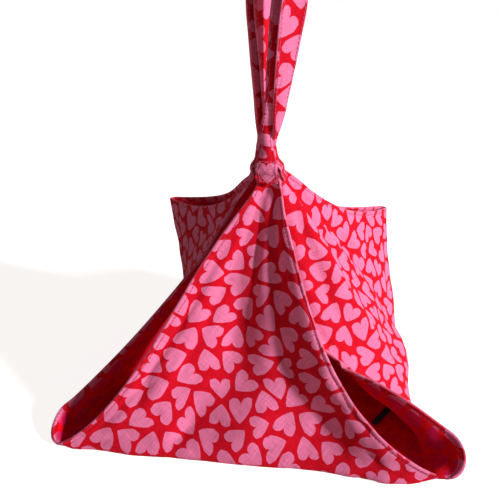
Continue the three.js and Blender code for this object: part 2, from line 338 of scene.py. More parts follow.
def heart_print_group() -> bpy.types.NodeTree:
    """Builds the print: hearts tossed in all directions and packed closely, one repeat beside the next.

    Returns:
        A group that puts out Hearts, which is 1 on a heart and 0 on the ground.
    """
    single = single_heart_group()
    inputs = {"Place": None, "Shift": 0.0, "Trim": 0.0016, "Drift": 0.004}
    tree, pen, given, out = start_group("Tossed Hearts", inputs, {"Hearts": "NodeSocketFloat"})
    place = pen.vector("ADD", given["Place"], pen.vector("SCALE", (0.173, 0.119, 0.0), given["Shift"]))
    sway = pen.vector("SUBTRACT", pen.noise(place, 22.0, 1.0).outputs["Color"], (0.5, 0.5, 0.5))
    place = pen.vector("ADD", place, pen.vector("SCALE", sway, given["Drift"]))
    deepest = None
    for across, along, turn, width, length, lean in HEARTS:
        heart = pen.group(
            single, Place=place, Across=across * MM, Along=along * MM, Turn=math.radians(turn),
            Width=width * MM, Length=length, Lean=lean,
        ).outputs[0]
        deepest = heart if deepest is None else pen.math("MAXIMUM", deepest, heart)
    ragged = pen.math("MULTIPLY_ADD", pen.noise(place, 700.0, 2.0).outputs[0], 0.0007, -0.00035)
    depth = pen.math("ADD", pen.math("SUBTRACT", deepest, given["Trim"]), ragged)
    pen.feed(out.inputs["Hearts"], pen.step(depth, -0.00012, 0.00012))
    return tree


def weave_group() -> bpy.types.NodeTree:
    """Builds a plain weave: threads that pass over and under each other, thicker here and there.

    Returns:
        A group that puts out Height, from 0 to 1, and Tone, which lightens and darkens single threads.
    """
    tree, pen, given, out = start_group(
        "Plain Weave", {"Place": None, "Pitch": 0.00045, "Slub": 0.5},
        {"Height": "NodeSocketFloat", "Tone": "NodeSocketFloat"},
    )
    x, y, _ = pen.split(given["Place"])
    warp = pen.math("SINE", pen.math("MULTIPLY", pen.math("DIVIDE", x, given["Pitch"]), math.pi))
    weft = pen.math("SINE", pen.math("MULTIPLY", pen.math("DIVIDE", y, given["Pitch"]), math.pi))
    over = pen.step(pen.math("MULTIPLY", warp, weft), -0.25, 0.25)
    threads = pen.math("ADD", pen.math("ABSOLUTE", warp), pen.math("MULTIPLY", over, 0.6))
    stretched_x = pen.vector("MULTIPLY", given["Place"], (1.0, 0.06, 1.0))
    stretched_y = pen.vector("MULTIPLY", given["Place"], (0.06, 1.0, 1.0))
    slub_x = pen.noise(stretched_x, 1300.0, 2.0).outputs[0]
    slub_y = pen.noise(stretched_y, 1300.0, 2.0).outputs[0]
    slub = pen.math("ADD", slub_x, slub_y)
    mixed = pen.math("MULTIPLY_ADD", slub, given["Slub"], pen.math("MULTIPLY", threads, 0.4))
    pen.feed(out.inputs["Height"], mixed)
    pen.feed(out.inputs["Tone"], pen.math("SUBTRACT", slub, 1.0))
    return tree


def edge_light_and_shade_group() -> bpy.types.NodeTree:
    """Builds painted light along a sewn edge: a patchy painted highlight on the edge itself, and painted shade in
    the stitched line beside it.

    Returns:
        A group that puts out two masks from the distance to the edge, both from 0 to 1: the painted highlight and
        the painted shade.
    """
    tree, pen, given, out = start_group(
        "Painted Edge Light", {"Place": None, "Seam": None, "Reach": 0.0012, "Stitch Line": 0.0036},
        {"Fade": "NodeSocketFloat", "Groove Shade": "NodeSocketFloat"},
    )
    _, distance, _ = pen.split(given["Seam"])
    patchy = pen.noise(given["Place"], 160.0, 3.0).outputs[0]
    reach = pen.math("MULTIPLY", given["Reach"], pen.math("MULTIPLY_ADD", patchy, 1.6, 0.2))
    # Painted highlight: the edge itself turns pale, patchy along it.
    pen.feed(out.inputs["Fade"], pen.step(distance, reach, 0.0, 0.0, 1.0))
    # Painted shade in the stitched line beside the edge.
    off_line = pen.math("ABSOLUTE", pen.math("SUBTRACT", distance, given["Stitch Line"]))
    pen.feed(out.inputs["Groove Shade"], pen.step(off_line, 0.0011, 0.0001, 0.0, 1.0))
    return tree


def crease_group() -> bpy.types.NodeTree:
    """Builds the soft rumples of washed cotton, as a height from about 0 to 1."""
    tree, pen, given, out = start_group(
        "Soft Rumples", {"Place": None, "Size": 0.03}, {"Height": "NodeSocketFloat"}
    )
    scale = pen.math("DIVIDE", 1.0, given["Size"])
    broad = pen.noise(given["Place"], scale, 3.0, 0.55).outputs[0]
    sharp = pen.math("ABSOLUTE", pen.math("SUBTRACT", pen.noise(given["Place"], scale, 2.0).outputs[0], 0.5))
    pen.feed(out.inputs["Height"], pen.math("MULTIPLY_ADD", sharp, -0.8, broad))
    return tree


def linear(red: int, green: int, blue: int) -> tuple[float, float, float, float]:
    """Turns a colour as a screen shows it, from 0 to 255, into the shader's own numbers."""
    parts = [c / 255 for c in (red, green, blue)]
    return tuple(c / 12.92 if c <= 0.04045 else ((c + 0.055) / 1.055) ** 2.4 for c in parts) + (1.0,)


@dataclass(frozen=True)
class Effects:
    """The node groups that the finishes share, each built once."""

    hearts: bpy.types.NodeTree = field(default_factory=heart_print_group)
    weave: bpy.types.NodeTree = field(default_factory=weave_group)
    # Painted highlight along sewn edges, and painted shade in their stitched lines.
    edge_light_and_shade: bpy.types.NodeTree = field(default_factory=edge_light_and_shade_group)
    rumples: bpy.types.NodeTree = field(default_factory=crease_group)


@dataclass(frozen=True)
class PrintedCotton:
    """Plain woven cotton with tossed hearts on a plain ground."""

    name: str
    seed: float
    ground: tuple[int, int, int] = (218, 3, 34)
    motif: tuple[int, int, int] = (244, 127, 170)
    # Painted light: away from the rim the print turns to these colours; on the lining a saturated crimson ground and
    # magenta hearts stand for the red bounce light of its shaded inside.
    shaded_ground: tuple[int, int, int] = (218, 3, 34)
    shaded_motif: tuple[int, int, int] = (244, 127, 170)
    roughness: float = 0.86
    rumple_depth: float = 0.0016
    edge_reach: float = 0.0014
    stitch_line: float = 0.0036
    # Where, in metres from the rim, that painted bounce-light tint starts and where it is complete.
    shade_start: float = 0.0025
    shade_end: float = 0.007
    # Painted highlight: the pale pink that a sewn edge turns, and how strongly.
    edge_highlight: tuple[int, int, int] = (246, 128, 165)
    edge_highlight_share: float = 0.6
    # Painted shade: the dark red of the stitched line beside the edge, and how strongly.
    groove_shade: tuple[int, int, int] = (120, 6, 26)
    groove_shade_share: float = 0.12
    tone_share: float = 0.55
    rough_share: float = 0.08
    gloss: float = 0.15
    sheen: float = 0.02
    sheen_roughness: float = 0.5
    weave_strength: float = 0.35
    weave_depth: float = 0.00025
    rumple_strength: float = 0.6

    def build(self, effects: Effects) -> bpy.types.Material:
        """Makes the material.

        Args:
            effects: The shared node groups.

        Returns:
            A material that reads the texture lengths named cloth and seam, both in metres.
        """
        material = bpy.data.materials.new(self.name)
        material.use_nodes = True
        tree = material.node_tree
        shader = tree.nodes["Principled BSDF"]
        pen = NodePen(tree)
        place = pen.node("ShaderNodeUVMap", uv_map="cloth").outputs[0]
        seam = pen.node("ShaderNodeUVMap", uv_map="seam").outputs[0]
        hearts = pen.group(effects.hearts, Place=place, Shift=self.seed)
        weave = pen.group(effects.weave, Place=place)
        edge_light_and_shade = pen.group(
            effects.edge_light_and_shade, Place=place, Seam=seam, Reach=self.edge_reach, Stitch_Line=self.stitch_line
        )
        rumples = pen.group(effects.rumples, Place=place)
        _, from_edge, _ = pen.split(seam)
        # Painted light: a few millimetres in from the rim the print turns to the tinted colours that stand for
        # bounce light in shade.
        away = pen.step(from_edge, self.shade_start, self.shade_end)
        ground = pen.mix(away, linear(*self.ground), linear(*self.shaded_ground))
        motif = pen.mix(away, linear(*self.motif), linear(*self.shaded_motif))
        colour = pen.mix(hearts.outputs["Hearts"], ground, motif)
        tone = pen.math("MULTIPLY_ADD", weave.outputs["Tone"], self.tone_share, 1.0)
        colour = pen.mix(1.0, colour, pen.join(tone, tone, tone), "MULTIPLY")
        # Painted highlight along the edge.
        highlighted = pen.math("MULTIPLY", edge_light_and_shade.outputs["Fade"], self.edge_highlight_share)
        colour = pen.mix(highlighted, colour, linear(*self.edge_highlight))
        # Painted shade in the stitched line.
        shaded = pen.math("MULTIPLY", edge_light_and_shade.outputs["Groove Shade"], self.groove_shade_share)
        colour = pen.mix(shaded, colour, linear(*self.groove_shade))
        pen.feed(shader.inputs["Base Color"], colour)
        rough = pen.math("MULTIPLY_ADD", weave.outputs["Tone"], self.rough_share, self.roughness)
        pen.feed(shader.inputs["Roughness"], rough)
        shader.inputs["Specular IOR Level"].default_value = self.gloss
        shader.inputs["Sheen Weight"].default_value = self.sheen
        shader.inputs["Sheen Roughness"].default_value = self.sheen_roughness
        fine = pen.node("ShaderNodeBump")
        fine.inputs["Strength"].default_value = self.weave_strength
        fine.inputs["Distance"].default_value = self.weave_depth
        pen.feed(fine.inputs["Height"], weave.outputs["Height"])
        broad = pen.node("ShaderNodeBump")
        broad.inputs["Strength"].default_value = self.rumple_strength
        broad.inputs["Distance"].default_value = self.rumple_depth
        pen.feed(broad.inputs["Height"], rumples.outputs["Height"])
        pen.feed(broad.inputs["Normal"], fine.outputs[0])
        pen.feed(shader.inputs["Normal"], broad.outputs[0])
        return material


@dataclass(frozen=True)
class ThreadFinish:
    """Twisted sewing thread."""

    name: str
    colour: tuple[int, int, int]
    dark_share: float = 0.72
    roughness: float = 0.6
    twist_scale: float = 900.0
    twist_distortion: float = 1.5
    twist_strength: float = 0.4
    twist_depth: float = 0.0001

    def build(self) -> bpy.types.Material:
        """Makes the material, with the thread's twist as fine slanting bands."""
        material = bpy.data.materials.new(self.name)
        material.use_nodes = True
        pen = NodePen(material.node_tree)
        shader = material.node_tree.nodes["Principled BSDF"]
        place = pen.node("ShaderNodeTexCoord").outputs["Object"]
        wave = pen.node("ShaderNodeTexWave", bands_direction="DIAGONAL")
        pen.feed(wave.inputs["Vector"], place)
        wave.inputs["Scale"].default_value = self.twist_scale
        wave.inputs["Distortion"].default_value = self.twist_distortion
        dark = linear(*(int(c * self.dark_share) for c in self.colour))
        colour = pen.mix(wave.outputs["Fac"], dark, linear(*self.colour))
        pen.feed(shader.inputs["Base Color"], colour)
        shader.inputs["Roughness"].default_value = self.roughness
        bump = pen.node("ShaderNodeBump")
        bump.inputs["Strength"].default_value = self.twist_strength
        bump.inputs["Distance"].default_value = self.twist_depth
        pen.feed(bump.inputs["Height"], wave.outputs["Fac"])
        pen.feed(shader.inputs["Normal"], bump.outputs[0])
        return material


@dataclass(frozen=True)
class BlackTape:
    """Black woven tape with a rib across it."""

    name: str = "black_tape"
    colour: tuple[int, int, int] = (24, 22, 26)
    pitch: float = 0.0006
    slub: float = 0.3
    tone_share: float = 0.5
    roughness: float = 0.75
    rib_strength: float = 0.7
    rib_depth: float = 0.0003

    def build(self, effects: Effects) -> bpy.types.Material:
        """Makes the material from the shared weave, on the texture lengths named cloth."""
        material = bpy.data.materials.new(self.name)
        material.use_nodes = True
        pen = NodePen(material.node_tree)
        shader = material.node_tree.nodes["Principled BSDF"]
        place = pen.node("ShaderNodeUVMap", uv_map="cloth").outputs[0]
        weave = pen.group(effects.weave, Place=place, Pitch=self.pitch, Slub=self.slub)
        tone = pen.math("MULTIPLY_ADD", weave.outputs["Tone"], self.tone_share, 1.0)
        colour = pen.mix(1.0, linear(*self.colour), pen.join(tone, tone, tone), "MULTIPLY")
        pen.feed(shader.inputs["Base Color"], colour)
        shader.inputs["Roughness"].default_value = self.roughness
        bump = pen.node("ShaderNodeBump")
        bump.inputs["Strength"].default_value = self.rib_strength
        bump.inputs["Distance"].default_value = self.rib_depth
        pen.feed(bump.inputs["Height"], weave.outputs["Height"])
        pen.feed(shader.inputs["Normal"], bump.outputs[0])
        return material


@dataclass(frozen=True)
class Measures:
    """The sizes, in millimetres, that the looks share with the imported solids."""

    knot: tuple[float, float, float] = (5.0, 0.0, 217.0)
    knot_half_width: float = 9.0
    corner_width: float = 13.0
    outer_thickness: float = 1.0
    lining_thickness: float = 0.8
    ply_gap: float = 0.3
    fold_radius: float = 9.0
    foot_bend: float = 22.0
    strap_width: float = 25.0
    strap_thickness: float = 2.0
    strap_foot_width: float = 9.0
    strap_neck: float = 7.0
    strap_flare: float = 90.0
    strap_end_rise: float = 22.0
    strap_end_lap: float = 7.0
    strap_end_inset: tuple[float, float, float, float] = (4.2, 7.2, 4.2, 4.0)
    strap_end_bulk: float = 2.4
    strap_end_slide: float = 1.5
    seam_gap: float = 0.45
    handle_rise: float = 250.0
    handle_spread: float = 46.0

    @property
    def lift(self) -> float:
        """The height of the cloth's middle surface over the table."""
        return self.outer_thickness + self.ply_gap / 2


SIZE = Measures()
OUTWARD = {
    "front": np.array([0.0, -1.0, 0.0]), "right": np.array([1.0, 0.0, 0.0]),
    "back": np.array([0.0, 1.0, 0.0]), "left": np.array([-1.0, 0.0, 0.0]),
}


@dataclass(frozen=True)
class Arm:
    """One folded arm, by the corner of the bottom under it, the rim's furthest point and its mouth.

    The two ends of the mouth, ahead and behind, are steps from that furthest point.
    """

    foot: tuple[float, float]
    tip: tuple[float, float, float]
    ahead: tuple[float, float, float]
    behind: tuple[float, float, float]


@dataclass(frozen=True)
class RimRun:
    """The rim from one corner round an arm to the next corner, with the shares that bend its two halves."""

    first: str
    arm: Arm
    second: str
    out_pull: tuple[tuple[float, float, float], tuple[float, float, float]]
    back_pull: tuple[tuple[float, float, float], tuple[float, float, float]]
    ahead_first: bool


RING = (
    RimRun(
        "front", Arm((151, -105), (175, -93, 17), (-20, -10, -9), (-14, 21, 13)), "right",
        ((0.20, 0.33, 0.33), (0.30, 0.85, 0.85)), ((0.04, 0.42, 1.00), (0.36, 0.60, 0.66)), True,
    ),
    RimRun(
        "right", Arm((141, 136), (118, 131, 143), (-1, -7, 1), (-7, -1, 1)), "back",
        ((0.32, 0.21, 0.36), (0.53, 0.50, 0.93)), ((0.14, 0.21, 0.49), (0.46, 0.58, 0.86)), True,
    ),
    RimRun(
        "back", Arm((-90, 127), (-116, 131, 142), (1, -7, 1), (7, -1, 1)), "left",
        ((0.36, 0.22, 0.36), (0.20, 0.69, 0.79)), ((0.17, 0.15, 0.48), (0.50, 0.50, 0.93)), False,
    ),
    RimRun(
        "left", Arm((-161, -107), (-171, -93, 9), (12, -13, -6), (8, 21, 10)), "front",
        ((0.22, 0.30, 0.36), (0.72, 0.55, 0.80)), ((0.30, 0.27, 0.27), (0.60, 0.87, 0.87)), False,
    ),
)


def corner_middle(name: str) -> np.ndarray:
    """Gives the middle of one corner's short edge at the knot."""
    return np.array(SIZE.knot) + OUTWARD[name] * SIZE.knot_half_width


def along_corner(name: str) -> np.ndarray:
    """Gives the way that a corner's short edge runs, anticlockwise from above."""
    return np.cross(UP, OUTWARD[name])


@dataclass(frozen=True)
class Fineness:
    """How finely the cloth is divided, as numbers of steps."""

    edge: int = 3
    rim: int = 44
    tip: int = 8
    floor: int = 12
    fold: int = 5
    wall: int = 40


@dataclass(frozen=True)
class Fold:
    """A crease, a pleat or, with a depth below zero, a swelling along a line on the cloth, in millimetres.

    Left and right are its widths as seen from outside, looking down the line: one for all of it, or one
    for each spot. A softness of 1 rounds its bottom, and one of 0 leaves it as sharp as a pressed crease.
    """

    line: tuple
    depths: tuple
    left: float | tuple
    right: float | tuple
    softness: float = 1.0
    right_softness: float = 1.0

    def push(self, points: np.ndarray, normals: np.ndarray) -> np.ndarray:
        """Gives how far each point goes inward.

        Args:
            points: The cloth's points, one row each.
            normals: Their outward directions.

        Returns:
            One length for each point, in millimetres.
        """
        best = np.full(len(points), 1e9)
        depth = np.zeros(len(points))
        wide = np.ones(len(points))
        on_left = np.zeros(len(points), bool)
        spots = np.array(self.line, float)
        left, right = (np.broadcast_to(np.atleast_1d(side), len(spots)) for side in (self.left, self.right))
        for i, (a, b, depth_a, depth_b) in enumerate(zip(spots, spots[1:], self.depths, self.depths[1:])):
            way = b - a
            share = np.clip((points - a) @ way / (way @ way), 0, 1)
            gap = points - (a + share[:, None] * way)
            distance = np.linalg.norm(gap, axis=1)
            nearer = distance < best
            best = np.where(nearer, distance, best)
            depth = np.where(nearer, depth_a + (depth_b - depth_a) * share, depth)
            side = np.einsum("ij,ij->i", np.cross(way[None, :], normals), gap) > 0
            on_left = np.where(nearer, side, on_left)
            left_reach = left[i] + (left[i + 1] - left[i]) * share
            right_reach = right[i] + (right[i + 1] - right[i]) * share
            reach = np.where(side, left_reach, right_reach)
            wide = np.where(nearer, reach, wide)
        far = np.clip(best / wide, 0, 1)
        soft = np.where(on_left, self.softness, self.right_softness)
        return depth * (1 - far) ** 2 * (1 + 2 * far * soft)


@dataclass(frozen=True)
class RimNudge:
    """A sideways move of the rim next to one corner, which fades out down the wall.

    Side is 1 for the rim anticlockwise of the corner and -1 for the other one. Shares are the places along
    that rim, ways the moves there and down how far they reach down the wall, both in millimetres.
    """

    corner: str
    side: int
    shares: tuple
    ways: tuple
    down: float = 28.0


RIM_NUDGES = (
    RimNudge("front", -1, (-0.07, 0.0, 0.04, 0.08, 0.15, 0.22, 0.32),
             ((3.0, 0, 0), (2.5, 0, 0), (4.5, 0, 0), (6.0, 0, 0), (4.5, 0, 0), (2.5, 0, 0), (0, 0, 0))),
    RimNudge("front", 1, (-0.07, 0.0, 0.05, 0.12), ((3.0, 0, 0), (4.5, 0, 0), (2.5, 0, 0), (0, 0, 0))),
    RimNudge("left", 1, (-0.07, 0.0, 0.05, 0.12, 0.2, 0.3),
             ((0, 0, 5.0), (0, 0, 5.0), (-1.5, 0, 3.0), (-3.0, 0, 1.5), (-2.5, 0, 0), (0, 0, 0))),
    RimNudge("left", -1, (-0.07, 0.0, 0.06, 0.15), ((0, 0, 5.0), (0, 0, 5.0), (0, 0, 3.0), (0, 0, 0))),
    RimNudge("right", 1, (-0.07, 0.0, 0.08, 0.16, 0.26),
             ((0, 0, 4.0), (0, 0, 4.0), (0, 0, 3.5), (0, 0, 2.5), (0, 0, 0))),
    RimNudge("right", -1, (-0.07, 0.0, 0.06, 0.15), ((0, 0, 4.0), (0, 0, 4.0), (0, 0, 2.5), (0, 0, 0))),
)

# The creases, pleats and swellings that the photograph shows, on the cloth as it lies in the frame.
PHOTO_FOLDS = (
    Fold(
        ((3.0, -12.0, 213.0), (0.2, -18.3, 200.1), (-1.7, -22.3, 191.2), (-2.5, -28.2, 178.0),
         (-8.8, -35.0, 162.9), (-15.2, -41.8, 147.7), (-17.6, -48.6, 132.8), (-18.3, -55.2, 117.8),
         (-18.2, -61.9, 102.9), (-22.2, -68.7, 87.6), (-27.1, -75.6, 72.3), (-34.5, -82.7, 56.6),
         (-41.1, -89.7, 40.9), (-52.7, -97.1, 24.7), (-59.5, -103.5, 10.3)),
        (0.0, 2.5, 4.5, 7.5, 11.5, 14.5, 17.0, 18.5, 19.5, 19.5, 18.5, 16.0, 12.0, 7.0, 2.0),
        (8.0, 14.0, 18.0, 28.0, 36.0, 44.0, 52.0, 62.0, 70.0, 75.0, 78.0, 80.0, 82.0, 84.0, 86.0),
        (6.0, 8.0, 10.0, 13.0, 20.0, 27.0, 30.0, 32.0, 33.0, 43.0, 50.0, 52.0, 54.0, 54.0, 50.0), 0.6, 1.0,
    ),
    Fold(
        ((8.0, -12.5, 212.0), (8.9, -16.8, 203.4), (8.0, -22.1, 191.7), (8.8, -28.0, 178.5),
         (10.6, -34.5, 163.9), (10.7, -41.1, 149.2), (11.6, -47.6, 134.5), (12.6, -54.2, 119.8),
         (14.3, -60.7, 105.2), (19.3, -67.2, 90.7), (28.3, -73.5, 76.6), (35.6, -79.8, 62.4),
         (47.7, -85.9, 48.6), (63.7, -91.8, 35.3), (81.9, -97.6, 22.3), (95.9, -102.1, 11.8),
         (110.0, -104.0, 6.0)),
        (0.0, 2.0, 4.0, 6.5, 9.0, 11.0, 12.5, 13.5, 14.5, 16.0, 17.0, 17.0, 15.5, 13.5, 9.5, 4.5, 0.0),
        (6.0, 8.0, 10.0, 14.0, 22.0, 32.0, 38.0, 44.0, 50.0, 64.0, 76.0, 80.0, 76.0, 66.0, 52.0, 38.0, 24.0),
        (10.0, 16.0, 22.0, 27.0, 30.0, 34.0, 38.0, 42.0, 45.0, 45.0, 43.0, 42.0, 40.0, 38.0,
         34.0, 30.0, 26.0),
        1.0, 0.5,
    ),
    Fold(
        ((32.7, -38.0, 156.4), (36.1, -44.8, 141.3), (40.8, -49.6, 130.6), (46.2, -53.7, 121.5),
         (52.8, -61.4, 104.4), (59.6, -70.0, 85.2)),
        (0, 1.5, 2, 2, 1.5, 0), 5.0, 5.0, 0.2, 0.2,
    ),
    Fold(
        ((63.0, -72.5, 80.0), (68.3, -75.6, 72.7), (75.9, -79.3, 64.6), (84.3, -83.2, 55.9)),
        (0, 3, 3, 0), 8.0, 8.0, 0.3, 0.3,
    ),
    Fold(
        ((80.7, -84.9, 51.8), (88.2, -87.8, 45.2), (96.4, -90.5, 39.4), (103.9, -94.4, 30.6)),
        (0, 3, 3, 0), 8.0, 8.0, 0.3, 0.3,
    ),
    Fold(((99.0, -97.5, 24.0), (103.2, -99.3, 18.6), (110.0, -102.8, 10.3)), (0, 2.5, 1), 8.0, 6.0, 0.3, 0.3),
    Fold(((-37.3, -93.0, 33.7), (-46.0, -96.8, 25.3), (-53.9, -100.5, 17.0), (-63.8, -104.1, 7.0)),
         (0, 3, 4, 1), 14.0, 10.0, 0.8, 0.3),
    Fold(
        ((-78.0, -79.5, 64.6), (-85.1, -84.2, 54.1), (-92.2, -89.0, 43.5), (-99.3, -94.1, 32.2)),
        (0, 3, 3, 0), 12.0, 8.0, 0.2, 0.2,
    ),
    Fold(
        ((57.1, 51.0, 171.8), (65.7, 50.9, 154.3), (74.3, 52.9, 138.5), (88.8, 59.1, 114.1),
         (105.5, 68.9, 86.6), (118.7, 79.4, 62.8), (130.1, 89.4, 41.7)),
        (0, 2.5, 4, 5, 4, 3, 0), 18.0, 12.0, 0.4, 0.4,
    ),
    Fold(((116.2, 56.2, 59.7), (119.3, 47.7, 52.4), (121.2, 30.4, 48.6)), (0, 3, 0), 12.0, 9.0, 0.2, 0.2),
    Fold(((18.4, 0.6, 213.3), (23.9, -2.8, 204.4), (31.5, 0.2, 192.3)), (2, 4, 0), 6.0, 6.0, 0.3, 0.3),
    Fold(((22.0, 6.0, 205.0), (37.0, 14.1, 185.6), (42.5, 14.8, 176.4), (48.3, 14.2, 166.6)),
         (1, 4, 3, 0), 9.0, 8.0, 0.3, 0.3),
    Fold(((-50.4, 48.9, 158.8), (-63.6, 61.9, 144.4), (-77.3, 73.7, 127.6)), (0, 3, 0), 12.0, 10.0, 0.4, 0.4),
    Fold(
        ((138.0, 92.0, 17.0), (139.2, 75.0, 13.7), (139.7, 58.5, 12.6), (139.8, 41.0, 12.7),
         (139.9, 24.0, 13.0), (141.0, 10.0, 11.0)),
        (0, -5.5, -7, -6, -3, 0), 34.0, 34.0,
    ),
    Fold(((119.0, 128.0, 136.0), (124.0, 124.0, 105.0), (131.0, 117.0, 66.0), (136.0, 112.0, 36.0)),
         (1.5, 2.5, 3, 0), 26.0, 26.0),
    Fold(
        ((-128.0, -107.0, 2.0), (-95.0, -107.0, 2.0), (0.0, -106.0, 2.0), (85.0, -106.0, 2.0),
         (125.0, -106.0, 2.0), (152.0, -99.0, 2.0)),
        (0, -5.0, -3.0, -7.0, -2.0, 4.5), 16.0, 16.0,
    ),
)


class ClothShape:
    """The cloth's middle surface: rows of points from the middle of the bottom out and up to the rim."""

    HEM_ROWS = (12.0, 9.5, 7.6, 6.2, 5.2, 4.5, 4.0, 3.6, 3.2, 2.7, 2.1, 1.5, 1.0, 0.6, 0.3, 0.1, 0.0)
    HEM_STITCH = 3.6
    FAR_GAP = 99.0
    BEND_SHARE = 0.2
    LEAST_SQUARE = 0.16
    HEM_LOWEST = 0.55
    PLEAT_COUNT = 9
    PLEAT_REACH = 0.85
    PLEAT_STRAY = 0.07
    PLEAT_FOOT = (0.25, 0.6)
    PLEAT_DEPTH = (1.0, 3.2)
    PLEAT_WIDTH = (7.0, 15.0)
    PLEAT_ROOT = 0.12
    PLEAT_FAN = 0.88
    PLEAT_TOP = 0.985
    BROAD_WAVE, BROAD_HEIGHT = 46.0, 2.2
    FINE_WAVE, FINE_HEIGHT = 19.0, 0.9
    FINE_SHIFT = Vector((9, 4, 2))
    CALM_EDGE = 12.0
    CALM_FOOT = 0.12

    def __init__(self, fineness: Fineness, folds: tuple[Fold, ...], seed: int = 7) -> None:
        """Works out the folded surface.

        Args:
            fineness: The numbers of steps.
            folds: The creases read off the photograph.
            seed: The seed of the small pleats.
        """
        self.fine = fineness
        self.random = np.random.default_rng(seed)
        rim, foot = self._outlines()
        for _ in range(2):
            rim = (np.roll(rim, 1, 0) + 2 * rim + np.roll(rim, -1, 0)) / 4
            foot = (np.roll(foot, 1, 0) + 2 * foot + np.roll(foot, -1, 0)) / 4
        self.centre, self.rows, self.edge_gap, self.wall_share = self._rows(rim, foot)
        self._fold_all(folds)
        for nudge in RIM_NUDGES:
            self._nudge(nudge)

    def _nudge(self, nudge: RimNudge) -> None:
        """Moves the rim and the top of the wall beside one corner."""
        steps = np.arange(1 if nudge.side > 0 else 0, self.fine.edge + self.fine.rim)
        columns = (self.corner_column[nudge.corner] + nudge.side * steps) % self.rows.shape[1]
        ways = np.array(nudge.ways, float)
        places = (steps - self.fine.edge) / self.fine.rim
        move = np.stack([np.interp(places, nudge.shares, ways[:, k]) for k in range(3)], 1)
        near = 1 - np.clip(self.edge_gap[:, columns] / nudge.down, 0, 1)
        self.rows[:, columns] += (near * near * (3 - 2 * near))[..., None] * move[None, :, :]

    def _rim_half(self, name: str, arm: Arm, pull: tuple, side: int, ahead: bool) -> np.ndarray:
        """Gives half of the rim, from the middle of a corner out to an arm's tip."""
        tip = np.array(arm.tip, float)
        ends = [tip + np.array(arm.ahead), tip + np.array(arm.behind)]
        end = ends[0] if ahead else ends[1]
        middle = corner_middle(name)
        start = middle + along_corner(name) * (side * SIZE.corner_width / 2)
        handles = [start, start + (end - start) * pull[0], start + (end - start) * pull[1], end]
        edge = lerp(middle, start, np.arange(self.fine.edge) / self.fine.edge)
        curve = bezier(handles, np.linspace(0, 1, self.fine.rim + 1))
        centre = (ends[0] + ends[1]) / 2
        turn = np.linspace(0, math.pi / 2, self.fine.tip + 1)[1:, None]
        bend = centre + (tip - centre) * np.sin(turn) + (end - centre) * np.cos(turn)
        return np.vstack([edge, curve, bend])

    def _foot_half(self, middle: np.ndarray, arm: Arm, other: np.ndarray) -> np.ndarray:
        """Gives the matching half of the bottom's edge, with as many points."""
        foot = np.array([*arm.foot, 0.0])
        bend_start = foot + unit(middle - foot) * SIZE.foot_bend
        bend_end = foot + unit(other - foot) * SIZE.foot_bend
        first_share = SIZE.corner_width / 2 / np.linalg.norm(bend_start - middle)
        first = middle + (bend_start - middle) * first_share
        edge = lerp(middle, first, np.arange(self.fine.edge) / self.fine.edge)
        run = lerp(first, bend_start, np.linspace(0, 1, self.fine.rim + 1))
        bend = bezier([bend_start, foot, bend_end], np.linspace(0, 0.5, self.fine.tip + 1)[1:])
        return np.vstack([edge, run, bend])

    def _outlines(self) -> tuple[np.ndarray, np.ndarray]:
        """Gives the closed rim and the closed edge of the bottom, anticlockwise from above."""
        middles = {}
        for before, run in zip((RING[-1], *RING), RING):
            middles[run.first] = np.array([*(np.add(before.arm.foot, run.arm.foot) / 2), 0.0])
        rim, foot, self.corner_column = [], [], {}
        count = 0
        for run in RING:
            self.corner_column[run.first] = count
            out = self._rim_half(run.first, run.arm, run.out_pull, 1, run.ahead_first)
            back = self._rim_half(run.second, run.arm, run.back_pull, -1, not run.ahead_first)
            rim += [out, back[1:-1][::-1]]
            out = self._foot_half(middles[run.first], run.arm, middles[run.second])
            back = self._foot_half(middles[run.second], run.arm, middles[run.first])
            foot += [out, back[1:-1][::-1]]
            count += len(out) + len(back) - 2
        self.half = self.fine.edge + self.fine.rim + 1 + self.fine.tip
        return np.vstack(rim), np.vstack(foot)

    def _rows(self, rim: np.ndarray, foot: np.ndarray) -> tuple:
        """Lays the rows from the middle of the bottom to the rim.

        Returns:
            The centre, the rows, each point's distance to the rim and its share of the way up the wall.
        """
        centre = foot.mean(0)
        inner = foot - unit(foot - centre) * SIZE.fold_radius
        rise = rim - foot
        length = np.linalg.norm(rise, axis=1, keepdims=True)
        wall_start = foot + rise * np.minimum(SIZE.fold_radius / length, self.BEND_SHARE)
        rim_way = unit(np.roll(rim, -1, 0) - np.roll(rim, 1, 0))
        wall = rim - wall_start
        wall_length = np.linalg.norm(wall, axis=1)
        lean = np.einsum("ij,ij->i", unit(wall), rim_way)
        square = np.sqrt(np.maximum(1 - lean ** 2, self.LEAST_SQUARE))
        rows, gaps, shares = [], [], []
        for share in np.linspace(0, 1, self.fine.floor + 1)[1:]:
            rows.append(centre + (inner - centre) * share)
            gaps.append(np.full(len(rim), self.FAR_GAP))
            shares.append(np.zeros(len(rim)))
        for share in np.linspace(0, 1, self.fine.fold + 1)[1:-1]:
            away = 1 - share
            rows.append(inner * away ** 2 + foot * 2 * share * away + wall_start * share ** 2)
            gaps.append(np.full(len(rim), self.FAR_GAP))
            shares.append(np.zeros(len(rim)))
        hem_share = 1 - np.outer(self.HEM_ROWS, 1 / (wall_length * square))
        lowest = np.linspace(self.HEM_LOWEST, 1, len(self.HEM_ROWS)) ** 0.5
        hem_share = np.maximum(hem_share, lowest[:, None])
        plain = np.linspace(0, 1, self.fine.wall + 1)[:-1, None] * hem_share[0]
        for share in np.vstack([plain, hem_share]):
            rows.append(wall_start + wall * share[:, None])
            gaps.append((1 - share) * wall_length * square)
            shares.append(share)
        lift = np.array([0.0, 0.0, SIZE.lift])
        return centre + lift, np.array(rows) + lift, np.array(gaps), np.array(shares)

